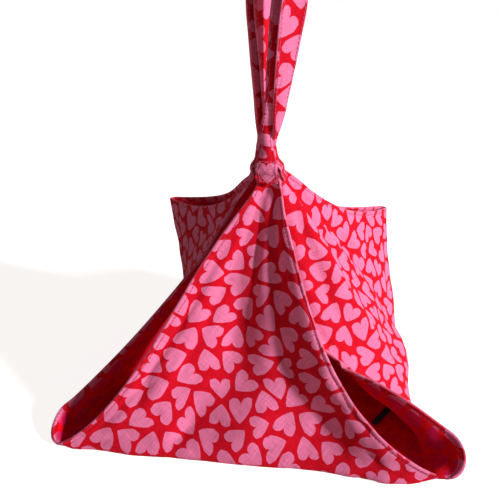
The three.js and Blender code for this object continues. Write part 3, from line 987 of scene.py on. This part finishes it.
    def normals(self) -> np.ndarray:
        """Gives each point's outward direction, from its neighbours round its row and up its column."""
        round_row = np.roll(self.rows, -1, 1) - np.roll(self.rows, 1, 1)
        lower = np.concatenate([np.broadcast_to(self.centre, self.rows[:1].shape), self.rows[:-1]])
        upper = np.concatenate([self.rows[1:], self.rows[-1:]])
        return unit(np.cross(round_row, upper - lower))

    def spot(self, corner: str, reach: float, share: float) -> tuple:
        """Finds the point of the wall at a share of the way from a corner to an arm, and up the wall."""
        column = (self.corner_column[corner] + round(reach * self.half)) % self.rows.shape[1]
        row = int(np.argmin(np.abs(self.wall_share[:, column] - share) + (self.wall_share[:, column] <= 0)))
        return tuple(self.rows[row, column])

    def _pleats(self) -> list[Fold]:
        """Makes the small pleats that fan out from the knot on each wall."""
        made = []
        for corner in OUTWARD:
            for reach in np.linspace(-self.PLEAT_REACH, self.PLEAT_REACH, self.PLEAT_COUNT):
                reach = float(reach + self.random.uniform(-self.PLEAT_STRAY, self.PLEAT_STRAY))
                foot_share = float(self.random.uniform(*self.PLEAT_FOOT))
                steps = np.linspace(0, 1, 9)
                spots = []
                for t in steps:
                    fan = self.PLEAT_ROOT + self.PLEAT_FAN * t
                    height = self.PLEAT_TOP + (foot_share - self.PLEAT_TOP) * t
                    spots.append(self.spot(corner, reach * fan, height))
                deep = float(self.random.uniform(*self.PLEAT_DEPTH)) * (1 if self.random.random() < 0.7 else -0.7)
                depths = tuple(deep * math.sin(math.pi * min(1.0, 0.25 + 0.75 * t)) for t in steps)
                wide = float(self.random.uniform(*self.PLEAT_WIDTH))
                made.append(Fold(tuple(spots), depths, wide, wide * 0.8, 0.5))
        return made

    def _rumple(self, place: Vector) -> float:
        """Gives how far the soft waves of the cloth push one of its points inward, in millimetres."""
        broad = noise.noise(place / self.BROAD_WAVE) * self.BROAD_HEIGHT
        return broad + noise.noise(place / self.FINE_WAVE + self.FINE_SHIFT) * self.FINE_HEIGHT

    def _fold_all(self, folds: tuple[Fold, ...]) -> None:
        """Pushes the surface in along every fold, and rumples it a little."""
        flat = self.rows.reshape(-1, 3)
        normals = self.normals().reshape(-1, 3)
        gap = self.edge_gap.ravel()
        share = self.wall_share.ravel()
        push = np.zeros(len(flat))
        for fold in folds:
            push += fold.push(flat, normals)
        small = sum(pleat.push(flat, normals) for pleat in self._pleats())
        rumple = np.array([self._rumple(Vector(p)) for p in flat])
        off_foot = np.clip(share / self.CALM_FOOT, 0, 1)
        calm = np.clip(gap / self.CALM_EDGE, 0, 1) * off_foot
        push += small * (0.3 + 0.7 * calm) * off_foot + rumple * calm
        moved = flat - normals * push[:, None]
        moved[:, 2] = np.maximum(moved[:, 2], SIZE.lift)
        self.rows = moved.reshape(self.rows.shape)

    def faces(self, first: int = 0, turned: bool = False) -> list[list[int]]:
        """Lists the faces of one skin.

        Args:
            first: The number of the skin's centre point.
            turned: Whether the faces look inward.

        Returns:
            Triangles round the centre and four-sided faces elsewhere.
        """
        rows, count = self.rows.shape[:2]
        here = np.arange(count)
        after = (here + 1) % count
        made = np.stack([np.full(count, first), first + 1 + after, first + 1 + here], 1).tolist()
        for row in range(rows - 1):
            low = first + 1 + row * count
            made += np.stack([low + here, low + after, low + count + after, low + count + here], 1).tolist()
        return [face[::-1] for face in made] if turned else made


def lay_flat(cloth: ClothShape) -> np.ndarray:
    """Flattens the cloth, as it was before it was tied.

    Args:
        cloth: The folded middle surface.

    Returns:
        The flat place of the centre and of each point, in metres.
    """
    points = np.vstack([cloth.centre, cloth.rows.reshape(-1, 3)]) * MM
    piece = make_object("flattened", points, cloth.faces())
    bpy.context.view_layer.objects.active = piece
    piece.select_set(True)
    piece.data.uv_layers.new(name="flat")
    bpy.ops.object.mode_set(mode="EDIT")
    bpy.ops.mesh.select_all(action="SELECT")
    bpy.ops.uv.unwrap(method="MINIMUM_STRETCH", margin=0.0)
    bpy.ops.object.mode_set(mode="OBJECT")
    loops = len(piece.data.loops)
    spots = np.empty(loops * 2, np.float32)
    piece.data.uv_layers["flat"].data.foreach_get("uv", spots)
    corners = np.empty(loops, int)
    piece.data.loops.foreach_get("vertex_index", corners)
    flat = np.zeros((len(points), 2))
    flat[corners] = spots.reshape(-1, 2)
    solid_area = sum(face.area for face in piece.data.polygons)
    flat_area = 0.0
    for face in piece.data.polygons:
        x, y = flat[list(face.vertices)].T
        flat_area += abs(np.dot(x, np.roll(y, -1)) - np.dot(y, np.roll(x, -1))) / 2
    mesh = piece.data
    bpy.data.objects.remove(piece)
    bpy.data.meshes.remove(mesh)
    log.info("cloth: %.4f square metres", solid_area)
    return flat * math.sqrt(solid_area / flat_area)


@dataclass
class PlyBuilder:
    """Builds one closed ply of the cloth, with a turned and stitched hem along its rim."""

    cloth: ClothShape
    flat: np.ndarray

    ROLL = (0.3, 1.7, 1.1)
    DENT = (-0.22, 3.6, 0.7)
    PUFF = (0.15, 6.0, 1.8)

    def hem_profile(self) -> np.ndarray:
        """Gives the extra thickness of the hem at each row and column, in millimetres."""
        gap = self.cloth.edge_gap
        swells = (self.ROLL, self.DENT, self.PUFF)
        return sum(height * np.exp(-((gap - place) / width) ** 2) for height, place, width in swells)

    def skin(self, distance: float, sign: int) -> np.ndarray:
        """Gives the points of one skin.

        Args:
            distance: How far the skin lies from the middle surface, below zero on the inside.
            sign: 1 where the hem swells the skin outward, -1 inward and 0 where it stays.

        Returns:
            The centre and then each row's points, in millimetres.
        """
        normals = self.cloth.normals()
        gap = self.cloth.edge_gap
        inner = np.sign(distance) * SIZE.ply_gap / 2
        reach = np.full(gap.shape, distance) + sign * self.hem_profile()
        round_off = np.sqrt(np.clip(1 - (1 - np.clip(gap / 1.2, 0, 1)) ** 2, 0.01, 1)) if sign else 1.0
        reach = inner + (reach - inner) * round_off
        points = self.cloth.rows + normals * reach[..., None]
        return np.vstack([self.cloth.centre - UP * distance, points.reshape(-1, 3)])

    def build(self, ply: Ply, thickness: float, offset: tuple[float, float]) -> bpy.types.Object:
        """Makes one ply, from the gap between the two of them out to its shown skin.

        Args:
            ply: Which one.
            thickness: How thick it is, in millimetres.
            offset: How far the print is shifted, in metres.

        Returns:
            The ply as a closed mesh with the texture lengths cloth and seam.
        """
        way = 1 if ply is Ply.OUTER else -1
        shown = self.skin(way * (SIZE.ply_gap / 2 + thickness), way)
        hidden = self.skin(way * SIZE.ply_gap / 2, 0)
        outer, inner = (shown, hidden) if ply is Ply.OUTER else (hidden, shown)
        rows, count = self.cloth.rows.shape[:2]
        second = len(outer)
        faces = self.cloth.faces() + self.cloth.faces(second, turned=True)
        top = 1 + (rows - 1) * count
        here = np.arange(count)
        after = (here + 1) % count
        faces += np.stack([top + here, top + after, second + top + after, second + top + here], 1).tolist()
        piece = make_object(f"{ply.value}_ply", to_frame(np.vstack([outer, inner])), faces)
        flat = np.vstack([self.flat, self.flat]) + np.array(offset)
        write_uv(piece, "cloth", flat)
        gap = np.concatenate([[ClothShape.FAR_GAP], self.cloth.edge_gap.ravel()]) * MM
        write_uv(piece, "seam", np.stack([flat[:, 0], np.concatenate([gap, gap])], 1))
        return piece


@dataclass
class ThreadWork:
    """Collects single stitches along lines and makes one piece of thread from them."""

    radius: float = 0.24
    pitch: float = 3.3
    length: float = 2.6
    points: list = field(default_factory=list)
    faces: list = field(default_factory=list)

    SIDES = 6
    SHARES = np.array([0.0, 0.14, 0.38, 0.62, 0.86, 1.0])
    HEIGHTS = np.array([-0.22, 0.1, 0.22, 0.22, 0.1, -0.22])

    def stitch(self, start: np.ndarray, end: np.ndarray, normal: np.ndarray) -> None:
        """Adds one stitch, which comes up out of the cloth and goes down into it."""
        way = unit(end - start)
        side = unit(np.cross(way, normal))
        turn = np.arange(self.SIDES) * 2 * math.pi / self.SIDES
        ring = np.cos(turn)[:, None] * side + np.sin(turn)[:, None] * normal
        first = len(self.points) * self.SIDES * len(self.SHARES)
        line = lerp(start, end, self.SHARES) + np.outer(self.HEIGHTS, normal)
        self.points.append((line[:, None, :] + ring[None, :, :] * self.radius).reshape(-1, 3))
        sides = self.SIDES
        for step in range(len(self.SHARES) - 1):
            for i in range(sides):
                j = (i + 1) % sides
                low = first + step * sides
                self.faces.append([low + i, low + j, low + sides + j, low + sides + i])
        last = first + (len(self.SHARES) - 1) * sides
        self.faces.append([first + i for i in range(sides)][::-1])
        self.faces.append([last + i for i in range(sides)])

    def run(self, path: np.ndarray, normals: np.ndarray, closed: bool = False) -> None:
        """Sews along a line.

        Args:
            path: The line's points, in millimetres.
            normals: The outward direction at each point.
            closed: Whether the line's end joins its start.
        """
        if closed:
            path, normals = np.vstack([path, path[:1]]), np.vstack([normals, normals[:1]])
        travelled = np.concatenate([[0], np.cumsum(np.linalg.norm(np.diff(path, axis=0), axis=1))])
        count = max(int(travelled[-1] / self.pitch), 1)
        pitch = travelled[-1] / count

        def at(distance: float, rows: np.ndarray) -> np.ndarray:
            """Reads a row of values at a distance along the line."""
            return np.array([np.interp(distance, travelled, rows[:, k]) for k in range(3)])

        for i in range(count):
            start, end = pitch * i + 0.2, pitch * i + 0.2 + self.length * pitch / self.pitch
            self.stitch(at(start, path), at(end, path), unit(at((start + end) / 2, normals)))

    def build(self, name: str) -> bpy.types.Object:
        """Makes the piece from every stitch so far."""
        return make_object(name, to_frame(np.vstack(self.points)), self.faces)


def smooth_path(points: np.ndarray, per_step: int = 24) -> np.ndarray:
    """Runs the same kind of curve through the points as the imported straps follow.

    Args:
        points: The points that the curve passes through.
        per_step: The number of samples between two of them.

    Returns:
        The curve's points, close together.
    """
    spots = np.vstack([2 * points[0] - points[1], points, 2 * points[-1] - points[-2]])
    made = []
    for p0, p1, p2, p3 in zip(spots, spots[1:], spots[2:], spots[3:]):
        gaps = [max(np.linalg.norm(b - a), 1e-6) ** 0.5 for a, b in ((p0, p1), (p1, p2), (p2, p3))]
        leave = ((p1 - p0) / gaps[0] - (p2 - p0) / (gaps[0] + gaps[1]) + (p2 - p1) / gaps[1]) * gaps[1]
        reach = ((p2 - p1) / gaps[1] - (p3 - p1) / (gaps[1] + gaps[2]) + (p3 - p2) / gaps[2]) * gaps[1]
        t = (np.arange(per_step) / per_step)[:, None]
        cubic = 2 * p1 - 2 * p2 + leave + reach
        square = -3 * p1 + 3 * p2 - 2 * leave - reach
        made.append(((cubic * t + square) * t + leave) * t + p1)
    return np.vstack([*made, points[-1:]])


def even_path(points: np.ndarray, count: int) -> tuple[np.ndarray, np.ndarray]:
    """Spaces points evenly along a line.

    Args:
        points: The line.
        count: The number of points wanted.

    Returns:
        The points, and the distance of each from the start.
    """
    travelled = np.concatenate([[0], np.cumsum(np.linalg.norm(np.diff(points, axis=0), axis=1))])
    marks = np.linspace(0, travelled[-1], count)
    return np.stack([np.interp(marks, travelled, points[:, k]) for k in range(3)], 1), marks


def strap_end_place(name: str, share: float) -> np.ndarray:
    """Gives the inner side of a strap's sewn end, a share of the way up from the edge of the cloth."""
    inset = SIZE.strap_end_inset[list(OUTWARD).index(name)]
    outward = SIZE.ply_gap / 2 + SIZE.outer_thickness + SIZE.seam_gap - inset * share ** 0.6
    outward += SIZE.strap_end_bulk * math.exp(-((share - 0.15) / 0.2) ** 2)
    return corner_middle(name) + OUTWARD[name] * outward + UP * (SIZE.lift + SIZE.strap_end_rise * share)


@dataclass
class Band:
    """A strap of folded cloth along a line: flat, or curled up across its width."""

    path: np.ndarray
    wide: np.ndarray
    face: np.ndarray
    widths: np.ndarray
    curls: np.ndarray
    thickness: float = SIZE.strap_thickness
    stitch_inset: float = 2.2

    ACROSS = 13
    ROUND = 4

    def bow(self, index: int) -> tuple[float, float, float]:
        """Gives a section's signed radius, the rise of its middle and half its length round the curve."""
        curl = self.curls[index]
        sign = -1.0 if curl < 0 else 1.0
        curl = min(max(abs(curl), 0.02), 1.5)
        radius = self.widths[index] / 2 / math.sin(curl)
        return sign * radius, sign * radius * (1 - math.cos(curl)) * 0.4, radius * curl

    def profile(self, index: int) -> tuple[np.ndarray, np.ndarray]:
        """Gives one section, and how far round the strap each of its points lies.

        Args:
            index: The section's number along the strap.

        Returns:
            The points in millimetres, and their distances across the strap.
        """
        radius, bow, around = self.bow(index)
        inner = around - self.thickness / 2
        places = np.linspace(-inner, inner, self.ACROSS)
        places[2], places[-3] = -around + self.stitch_inset, around - self.stitch_inset
        places[1], places[-2] = -around + self.stitch_inset * 0.72, around - self.stitch_inset * 0.72
        half = np.full(self.ACROSS, self.thickness / 2)
        half[[2, -3]] -= 0.28
        half[3:-3] += 0.06 * np.cos(np.linspace(-1.5, 1.5, self.ACROSS - 6))
        turn = np.linspace(0, math.pi, self.ROUND + 2)[1:-1]
        bend_place = inner + np.sin(turn) * self.thickness / 2
        bend_depth = np.cos(turn) * self.thickness / 2
        q = np.concatenate([places, bend_place, places[::-1], -bend_place[::-1]])
        d = np.concatenate([half, bend_depth, -half[::-1], -bend_depth[::-1]])
        angle = q / radius
        across = (radius + d) * np.sin(angle)
        out = (radius + d) * np.cos(angle) - radius + bow
        points = self.path[index] + np.outer(across, self.wide[index]) + np.outer(out, self.face[index])
        return points, q

    def build(self, name: str, marks: np.ndarray, offset: tuple[float, float]) -> bpy.types.Object:
        """Makes the strap.

        Args:
            name: The piece's name.
            marks: Each section's distance along the strap.
            offset: How far the print is shifted, in metres.

        Returns:
            The closed mesh, with the texture lengths cloth and seam.
        """
        sections = [self.profile(i) for i in range(len(self.path))]
        points = np.vstack([points for points, _ in sections])
        sides = len(sections[0][0])
        faces = []
        for section in range(len(sections) - 1):
            for i in range(sides):
                j = (i + 1) % sides
                low = section * sides
                faces.append([low + i, low + sides + i, low + sides + j, low + j])
        faces.append(list(range(sides)))
        last = (len(sections) - 1) * sides
        faces.append([last + i for i in range(sides)][::-1])
        piece = make_object(name, to_frame(points), faces)
        across = np.concatenate([q for _, q in sections]) * MM
        along = np.repeat(marks, sides) * MM
        write_uv(piece, "cloth", np.stack([across + offset[0], along + offset[1]], 1))
        reach = np.array([np.abs(q).max() for _, q in sections])
        edge = np.repeat(reach, sides) * MM - np.abs(across)
        write_uv(piece, "seam", np.stack([along, edge], 1))
        return piece

    def line(self, side: int, front: bool, inset: float) -> tuple[np.ndarray, np.ndarray]:
        """Gives a sewing line near one edge.

        Args:
            side: 1 or -1, for the edge.
            front: Whether it lies on the outward face.
            inset: Its distance from the edge, in millimetres.

        Returns:
            The line's points and its outward directions.
        """
        points, normals = [], []
        for i in range(len(self.path)):
            radius, bow, around = self.bow(i)
            angle = side * (around - inset) / radius
            way = self.wide[i] * math.sin(angle) + self.face[i] * math.cos(angle)
            height = self.thickness / 2 - 0.24
            centre = self.path[i] + self.face[i] * (bow - radius)
            points.append(centre + way * (radius + (height if front else -height)))
            normals.append(way if front else -way)
        return np.array(points), np.array(normals)


@dataclass(frozen=True)
class HandlePlan:
    """Which corners a handle joins, and how it leans."""

    side: Side
    first: str
    second: str
    lean: tuple[float, float]
    lean_shift: float
    seed: int
    closeness: float = 1.0
    slack: float = 0.32

    STRAND = (
        (0, 0.95, 0.02), (0.035, 0.8, 0.09), (0.12, 0.5, 0.1), (0.25, 0.3, 0.12), (0.48, 0.1, 0.18),
        (0.66, 0, 0.4), (0.84, 0, 0.85), (1, 0, 1),
    )

    def band(self, count: int = 260) -> tuple[Band, np.ndarray]:
        """Gives the strap's line, sections and distances from its start."""
        foot = [
            strap_end_place(name, 1) + OUTWARD[name] * SIZE.strap_thickness / 2 + UP * 0.2
            for name in (self.first, self.second)
        ]
        middle = (foot[0] + foot[1]) / 2
        reach = np.linalg.norm(foot[1] - foot[0]) / 2
        bend = SIZE.handle_spread / 2
        lean = unit(np.array([*self.lean, 0.0]))
        across = np.cross(UP, lean)

        def place(side: int, rise: float, side_share: float, spread: float) -> np.ndarray:
            """Gives a point of a strand from its shares."""
            climb = SIZE.strap_neck + (SIZE.handle_rise - SIZE.strap_neck - bend) * rise
            close = self.closeness if rise < 0.5 else 1.0
            aside = side * bend * spread * close + self.lean_shift * rise ** 0.8
            return middle + across * side * reach * side_share + lean * aside + UP * climb

        up_side = [place(-1, *shares) for shares in self.STRAND]
        down_side = [place(1, *shares) for shares in self.STRAND][::-1]
        crown = place(0, 1, 0, 0) + UP * bend
        path, marks = even_path(smooth_path(np.array([foot[0], *up_side, crown, *down_side, foot[1]])), count)
        along = unit(np.gradient(path, axis=0))
        along[0], along[-1] = UP, -UP
        face = unit(np.cross(across, along))
        wide = np.cross(along, face)
        random = np.random.default_rng(self.seed)
        knots = np.linspace(0, marks[-1], 9)
        twist = np.interp(marks, knots, random.uniform(-0.16, 0.16, 9))
        climb = np.clip((path[:, 2] - foot[0][2] - SIZE.strap_neck) / SIZE.strap_flare, 0, 1)
        twist = twist * np.clip(climb * 2, 0, 1)
        near = np.clip((path[:, 2] - foot[0][2]) / 30.0, 0, 1)
        toe = []
        for name in (self.first, self.second):
            toe.append(math.atan2(np.cross(OUTWARD[name], lean)[2], OUTWARD[name] @ lean))
        foot_twist = np.where(marks < marks[-1] / 2, toe[0], -toe[1])
        twist = twist + foot_twist * (1 - near * near * (3 - 2 * near))
        turned = wide * np.cos(twist)[:, None] + face * np.sin(twist)[:, None]
        face = unit(face * np.cos(twist)[:, None] - wide * np.sin(twist)[:, None])
        widths = SIZE.strap_foot_width + (SIZE.strap_width - SIZE.strap_foot_width) * climb
        curl_noise = np.interp(marks, knots, random.uniform(0.3, 1.0, 9)) * self.slack
        way_up = np.where(marks < marks[-1] / 2, 1.0, -1.0)
        curls = way_up * (1 - climb) ** 1.5 + curl_noise * climb
        return Band(path, turned, face, widths, curls), marks


@dataclass
class Carrier:
    """The whole carrier: its pieces, each with its finish, and all but the handles with the body that they move
    with.
    """

    effects: Effects = field(default_factory=Effects)

    def __post_init__(self) -> None:
        """Makes the finishes."""
        self.outer_print = PrintedCotton("printed_cotton", 1.0).build(self.effects)
        # The lining's tinted colours away from the rim paint the red bounce light of its shaded inside.
        self.lining_print = PrintedCotton(
            "lining_cotton", 2.0, shaded_ground=(255, 0, 26), shaded_motif=(238, 16, 84)
        ).build(self.effects)
        self.strap_print = PrintedCotton("strap_cotton", 3.0, stitch_line=0.0022).build(self.effects)
        self.pink_thread = ThreadFinish("pink_thread", (238, 120, 165)).build()
        self.red_thread = ThreadFinish("red_thread", (222, 48, 82)).build()
        self.tape = BlackTape().build(self.effects)

    def sew_cloth(self) -> None:
        """Builds both plies and the stitching along their rim."""
        cloth = ClothShape(Fineness(), PHOTO_FOLDS)
        flat = lay_flat(cloth)
        builder = PlyBuilder(cloth, flat)
        outer = builder.build(Ply.OUTER, SIZE.outer_thickness, (0.0, 0.0))
        lining = builder.build(Ply.LINING, SIZE.lining_thickness, (0.41, 0.27))
        settle(outer, "cloth_body", self.outer_print)
        settle(lining, "cloth_body", self.lining_print)
        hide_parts("outer_cloth")
        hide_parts("lining_cloth")
        threads = ThreadWork()
        row = cloth.wall_share.shape[0] - len(ClothShape.HEM_ROWS) + ClothShape.HEM_ROWS.index(ClothShape.HEM_STITCH)
        count = cloth.rows.shape[1]
        normals = cloth.normals()[row]
        line = slice(1 + row * count, 1 + (row + 1) * count)
        for distance, way in ((1, 1), (-1, -1)):
            thickness = SIZE.outer_thickness if distance > 0 else SIZE.lining_thickness
            skin = builder.skin(distance * (SIZE.ply_gap / 2 + thickness), way)[line]
            threads.run(skin, normals * way, closed=True)
        hem = threads.build("hem_stitches")
        settle(hem, "cloth_body", self.red_thread)

    def sew_strap_end(self, name: str, cloth_slope: np.ndarray) -> None:
        """Builds the sewn end of a strap on one corner, with its dense crossing stitches.

        Args:
            name: The corner.
            cloth_slope: The way down the cloth from that corner.
        """
        along = along_corner(name)
        outward = OUTWARD[name]
        normal = unit(-np.cross(along, cloth_slope))
        middle = corner_middle(name) + UP * SIZE.lift
        rim = middle + normal * (SIZE.ply_gap / 2 + SIZE.outer_thickness + SIZE.seam_gap)
        half = SIZE.strap_thickness / 2
        slide = np.array([SIZE.strap_end_slide if name == "front" else 0.0, 0.0, 0.0])
        stations = np.array([
            rim + cloth_slope * SIZE.strap_end_lap + normal * half + slide,
            rim + unit(normal + outward) * (half + 0.8) + slide,
            strap_end_place(name, 0.22) + outward * (half + 0.8),
            strap_end_place(name, 0.45) + outward * half,
            strap_end_place(name, 0.7) + outward * half,
            strap_end_place(name, 1) + outward * half + UP * 0.15,
        ])
        path, marks = even_path(smooth_path(stations), 40)
        tangent = unit(np.gradient(path, axis=0))
        tangent[-1] = UP
        wide = np.repeat(along[None, :], len(path), 0)
        face = unit(np.cross(tangent, wide))
        face *= np.sign(face @ outward)[:, None]
        share = marks / marks[-1]
        widths = np.interp(share, [0, 0.2, 0.5, 0.75, 1], [16.5, 18, 18, 13, SIZE.strap_foot_width])
        curls = np.interp(share, [0, 0.4, 0.75, 1], [0.05, 0.25, 0.7, 1.0])
        halfway = len(path) // 2
        if np.cross(tangent[halfway], wide[halfway]) @ outward < 0:
            wide = -wide
        band = Band(path, wide, face, widths, curls)
        seed = list(OUTWARD).index(name)
        offset = (0.0633, 0.0767) if name == "front" else (0.3 + 0.07 * seed, 0.11)
        piece = band.build(f"{name}_end", marks, offset)
        settle(piece, "cloth_body", self.strap_print)
        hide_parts(f"{name}_strap_end")
        threads = ThreadWork(radius=0.26, pitch=2.1, length=1.8)
        lower, upper = 2, 24
        spans = [(-1, lower, 1, upper), (1, lower, -1, upper), (-1, lower, -1, upper), (1, lower, 1, upper),
                 (-1, lower, 1, lower), (-1, upper, 1, upper), (-1, 7, 1, 19), (1, 7, -1, 19),
                 (-1, 13, 0, upper), (0, lower, 1, 13), (1, 13, 0, upper), (0, lower, -1, 13)]
        for side_a, row_a, side_b, row_b in spans:
            shares = np.linspace(0, 1, 30)
            sides = side_a + (side_b - side_a) * shares
            rows = row_a + (row_b - row_a) * shares
            points, normals = [], []
            for s, r in zip(sides, rows):
                low = min(int(r), len(path) - 2)
                part = r - low
                curl = max(np.interp(r, range(len(path)), curls), 0.02)
                width = np.interp(r, range(len(path)), widths)
                radius = width / 2 / math.sin(curl)
                angle = s * (radius * curl - 2.0) / radius
                way = band.wide[low] * math.sin(angle) + face[low] * math.cos(angle)
                centre = path[low] * (1 - part) + path[low + 1] * part
                sag = radius * (1 - math.cos(curl)) * 0.4
                points.append(centre + face[low] * (sag - radius) + way * (radius + half - 0.1))
                normals.append(way)
            threads.run(np.array(points), np.array(normals))
        thread = self.pink_thread if name == "front" else self.red_thread
        settle(threads.build(f"{name}_end_stitches"), "cloth_body", thread)

    def sew_handle(self, plan: HandlePlan) -> None:
        """Builds one handle and its two rows of stitches on both faces."""
        band, marks = plan.band()
        strap = band.build(f"{plan.side.value}_strap_band", marks, (0.13 * plan.seed, 0.05))
        threads = ThreadWork()
        for side in (-1, 1):
            for front in (True, False):
                threads.run(*band.line(side, front, band.stitch_inset))
        sewn = threads.build(f"{plan.side.value}_strap_stitches")
        for piece, material in ((strap, self.strap_print), (sewn, self.pink_thread)):
            piece.data.materials.append(material)
            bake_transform(piece)
            log.info("%s: %d vertices", piece.name, len(piece.data.vertices))
        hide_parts(f"{plan.side.value}_handle")

    def lay_tab(self) -> None:
        """Builds the bare black tab on the lining."""
        turn = math.radians(56)
        way = np.array([math.cos(turn), math.sin(turn), 0.0])
        side = np.array([-way[1], way[0], 0.0])
        low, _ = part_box("inner_tab")
        base = low[2] / MM
        count = 25
        share = np.linspace(-1, 1, count)
        path = np.array([*TAB_PLACE, base + 0.4]) + np.outer(share * 15.6, way)
        path[:, 2] += 0.25 * (1 - share ** 2)
        ends = np.sqrt(np.clip(1 - np.clip((np.abs(share) * 15.6 - 13.2) / 2.6, 0, 1) ** 2, 0.12, 1))
        band = Band(
            path, np.repeat(-side[None, :], count, 0), np.repeat(UP[None, :], count, 0), 6.0 * ends,
            np.full(count, 0.08), thickness=0.8, stitch_inset=0.7,
        )
        tab = band.build("tab", share * 15.6, (0.0, 0.0))
        settle(tab, "cloth_body", self.tape)
        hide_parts("inner_tab")


@dataclass
class Studio:
    """The camera, the lights and the floor."""

    lens: float = 38.952
    place: tuple[float, float, float] = (50.0, -425.0, 351.0)
    direction: tuple[float, float] = (-0.139, 0.990)
    pitch: float = 25.5
    light_way: tuple[float, float, float] = (0.88, -0.28, 0.37)
    light_strength: float = 3.8
    light_angle: float = 0.12
    light_colour: tuple[float, float, float] = (1.0, 0.99, 1.03)
    floor_half: float = 6.0
    floor_colour: tuple[float, float, float, float] = (0.8, 0.72, 0.64, 1)
    floor_roughness: float = 0.9
    floor_glow: float = 0.86
    fill_colour: tuple[float, float, float, float] = (1.0, 0.74, 0.62, 1.0)
    fill_strength: float = 0.095
    seen_extra: float = 0.905

    def aim(self) -> None:
        """Sets the camera as the photograph was taken."""
        camera = bpy.data.cameras.new("camera")
        camera.lens = self.lens
        camera.sensor_width = 36.0
        holder = bpy.data.objects.new("camera", camera)
        bpy.context.scene.collection.objects.link(holder)
        holder.location = Vector(to_frame(np.array(self.place)))
        flat = math.cos(math.radians(self.pitch))
        drop = math.sin(math.radians(self.pitch))
        way = Vector((self.direction[0] * flat, self.direction[1] * flat, -drop))
        holder.rotation_mode = "QUATERNION"
        holder.rotation_quaternion = way.to_track_quat("-Z", "Y")
        bpy.context.scene.camera = holder

    def build(self) -> None:
        """Places everything."""
        self.aim()
        sun = bpy.data.lights.new("key", "SUN")
        sun.energy = self.light_strength
        sun.angle = self.light_angle
        sun.color = self.light_colour
        key = bpy.data.objects.new("key", sun)
        bpy.context.scene.collection.objects.link(key)
        key.rotation_mode = "QUATERNION"
        key.rotation_quaternion = (-Vector(self.light_way)).to_track_quat("-Z", "Y")
        floor_mesh = bpy.data.meshes.new("floor")
        far = self.floor_half
        floor_mesh.from_pydata([(-far, -far, 0), (far, -far, 0), (far, far, 0), (-far, far, 0)], [], [range(4)])
        floor = bpy.data.objects.new("floor", floor_mesh)
        bpy.context.scene.collection.objects.link(floor)
        paper = bpy.data.materials.new("pale_floor")
        paper.use_nodes = True
        matt = paper.node_tree.nodes["Principled BSDF"]
        matt.inputs["Base Color"].default_value = self.floor_colour
        matt.inputs["Roughness"].default_value = self.floor_roughness
        matt.inputs["Specular IOR Level"].default_value = 0.0
        matt.inputs["Emission Color"].default_value = (1, 1, 1, 1)
        glow = NodePen(paper.node_tree)
        seen = glow.node("ShaderNodeLightPath").outputs["Is Camera Ray"]
        glow.feed(matt.inputs["Emission Strength"], glow.math("MULTIPLY", seen, self.floor_glow))
        floor_mesh.materials.append(paper)
        world = bpy.data.worlds.new("studio")
        world.use_nodes = True
        bpy.context.scene.world = world
        pen = NodePen(world.node_tree)
        back = world.node_tree.nodes["Background"]
        path = pen.node("ShaderNodeLightPath")
        seen = pen.math("MAXIMUM", path.outputs["Is Camera Ray"], path.outputs["Is Glossy Ray"])
        seen = pen.math("MAXIMUM", seen, path.outputs["Is Transmission Ray"])
        pen.feed(back.inputs["Color"], pen.mix(seen, self.fill_colour, (1.0, 1.0, 1.0, 1.0)))
        pen.feed(back.inputs["Strength"], pen.math("MULTIPLY_ADD", seen, self.seen_extra, self.fill_strength))
        bpy.context.scene.view_settings.view_transform = "Standard"


def main() -> None:
    """Builds the carrier and its studio, and reports each piece."""
    logging.basicConfig(level=logging.INFO, format="%(message)s")
    Studio().build()
    carrier = Carrier()
    carrier.sew_cloth()
    for before, run in zip((RING[-1], *RING), RING):
        cloth_foot = np.array([*(np.add(before.arm.foot, run.arm.foot) / 2), 0.0])
        carrier.sew_strap_end(run.first, unit(cloth_foot - corner_middle(run.first)))
    carrier.sew_handle(HandlePlan(Side.RIGHT, "front", "right", (1, -1), 36.0, 1))
    carrier.sew_handle(HandlePlan(Side.LEFT, "back", "left", (-0.86, 0.51), 7.0, 2, 0.7, 0.12))
    carrier.lay_tab()


if __name__ == "__main__":
    main()
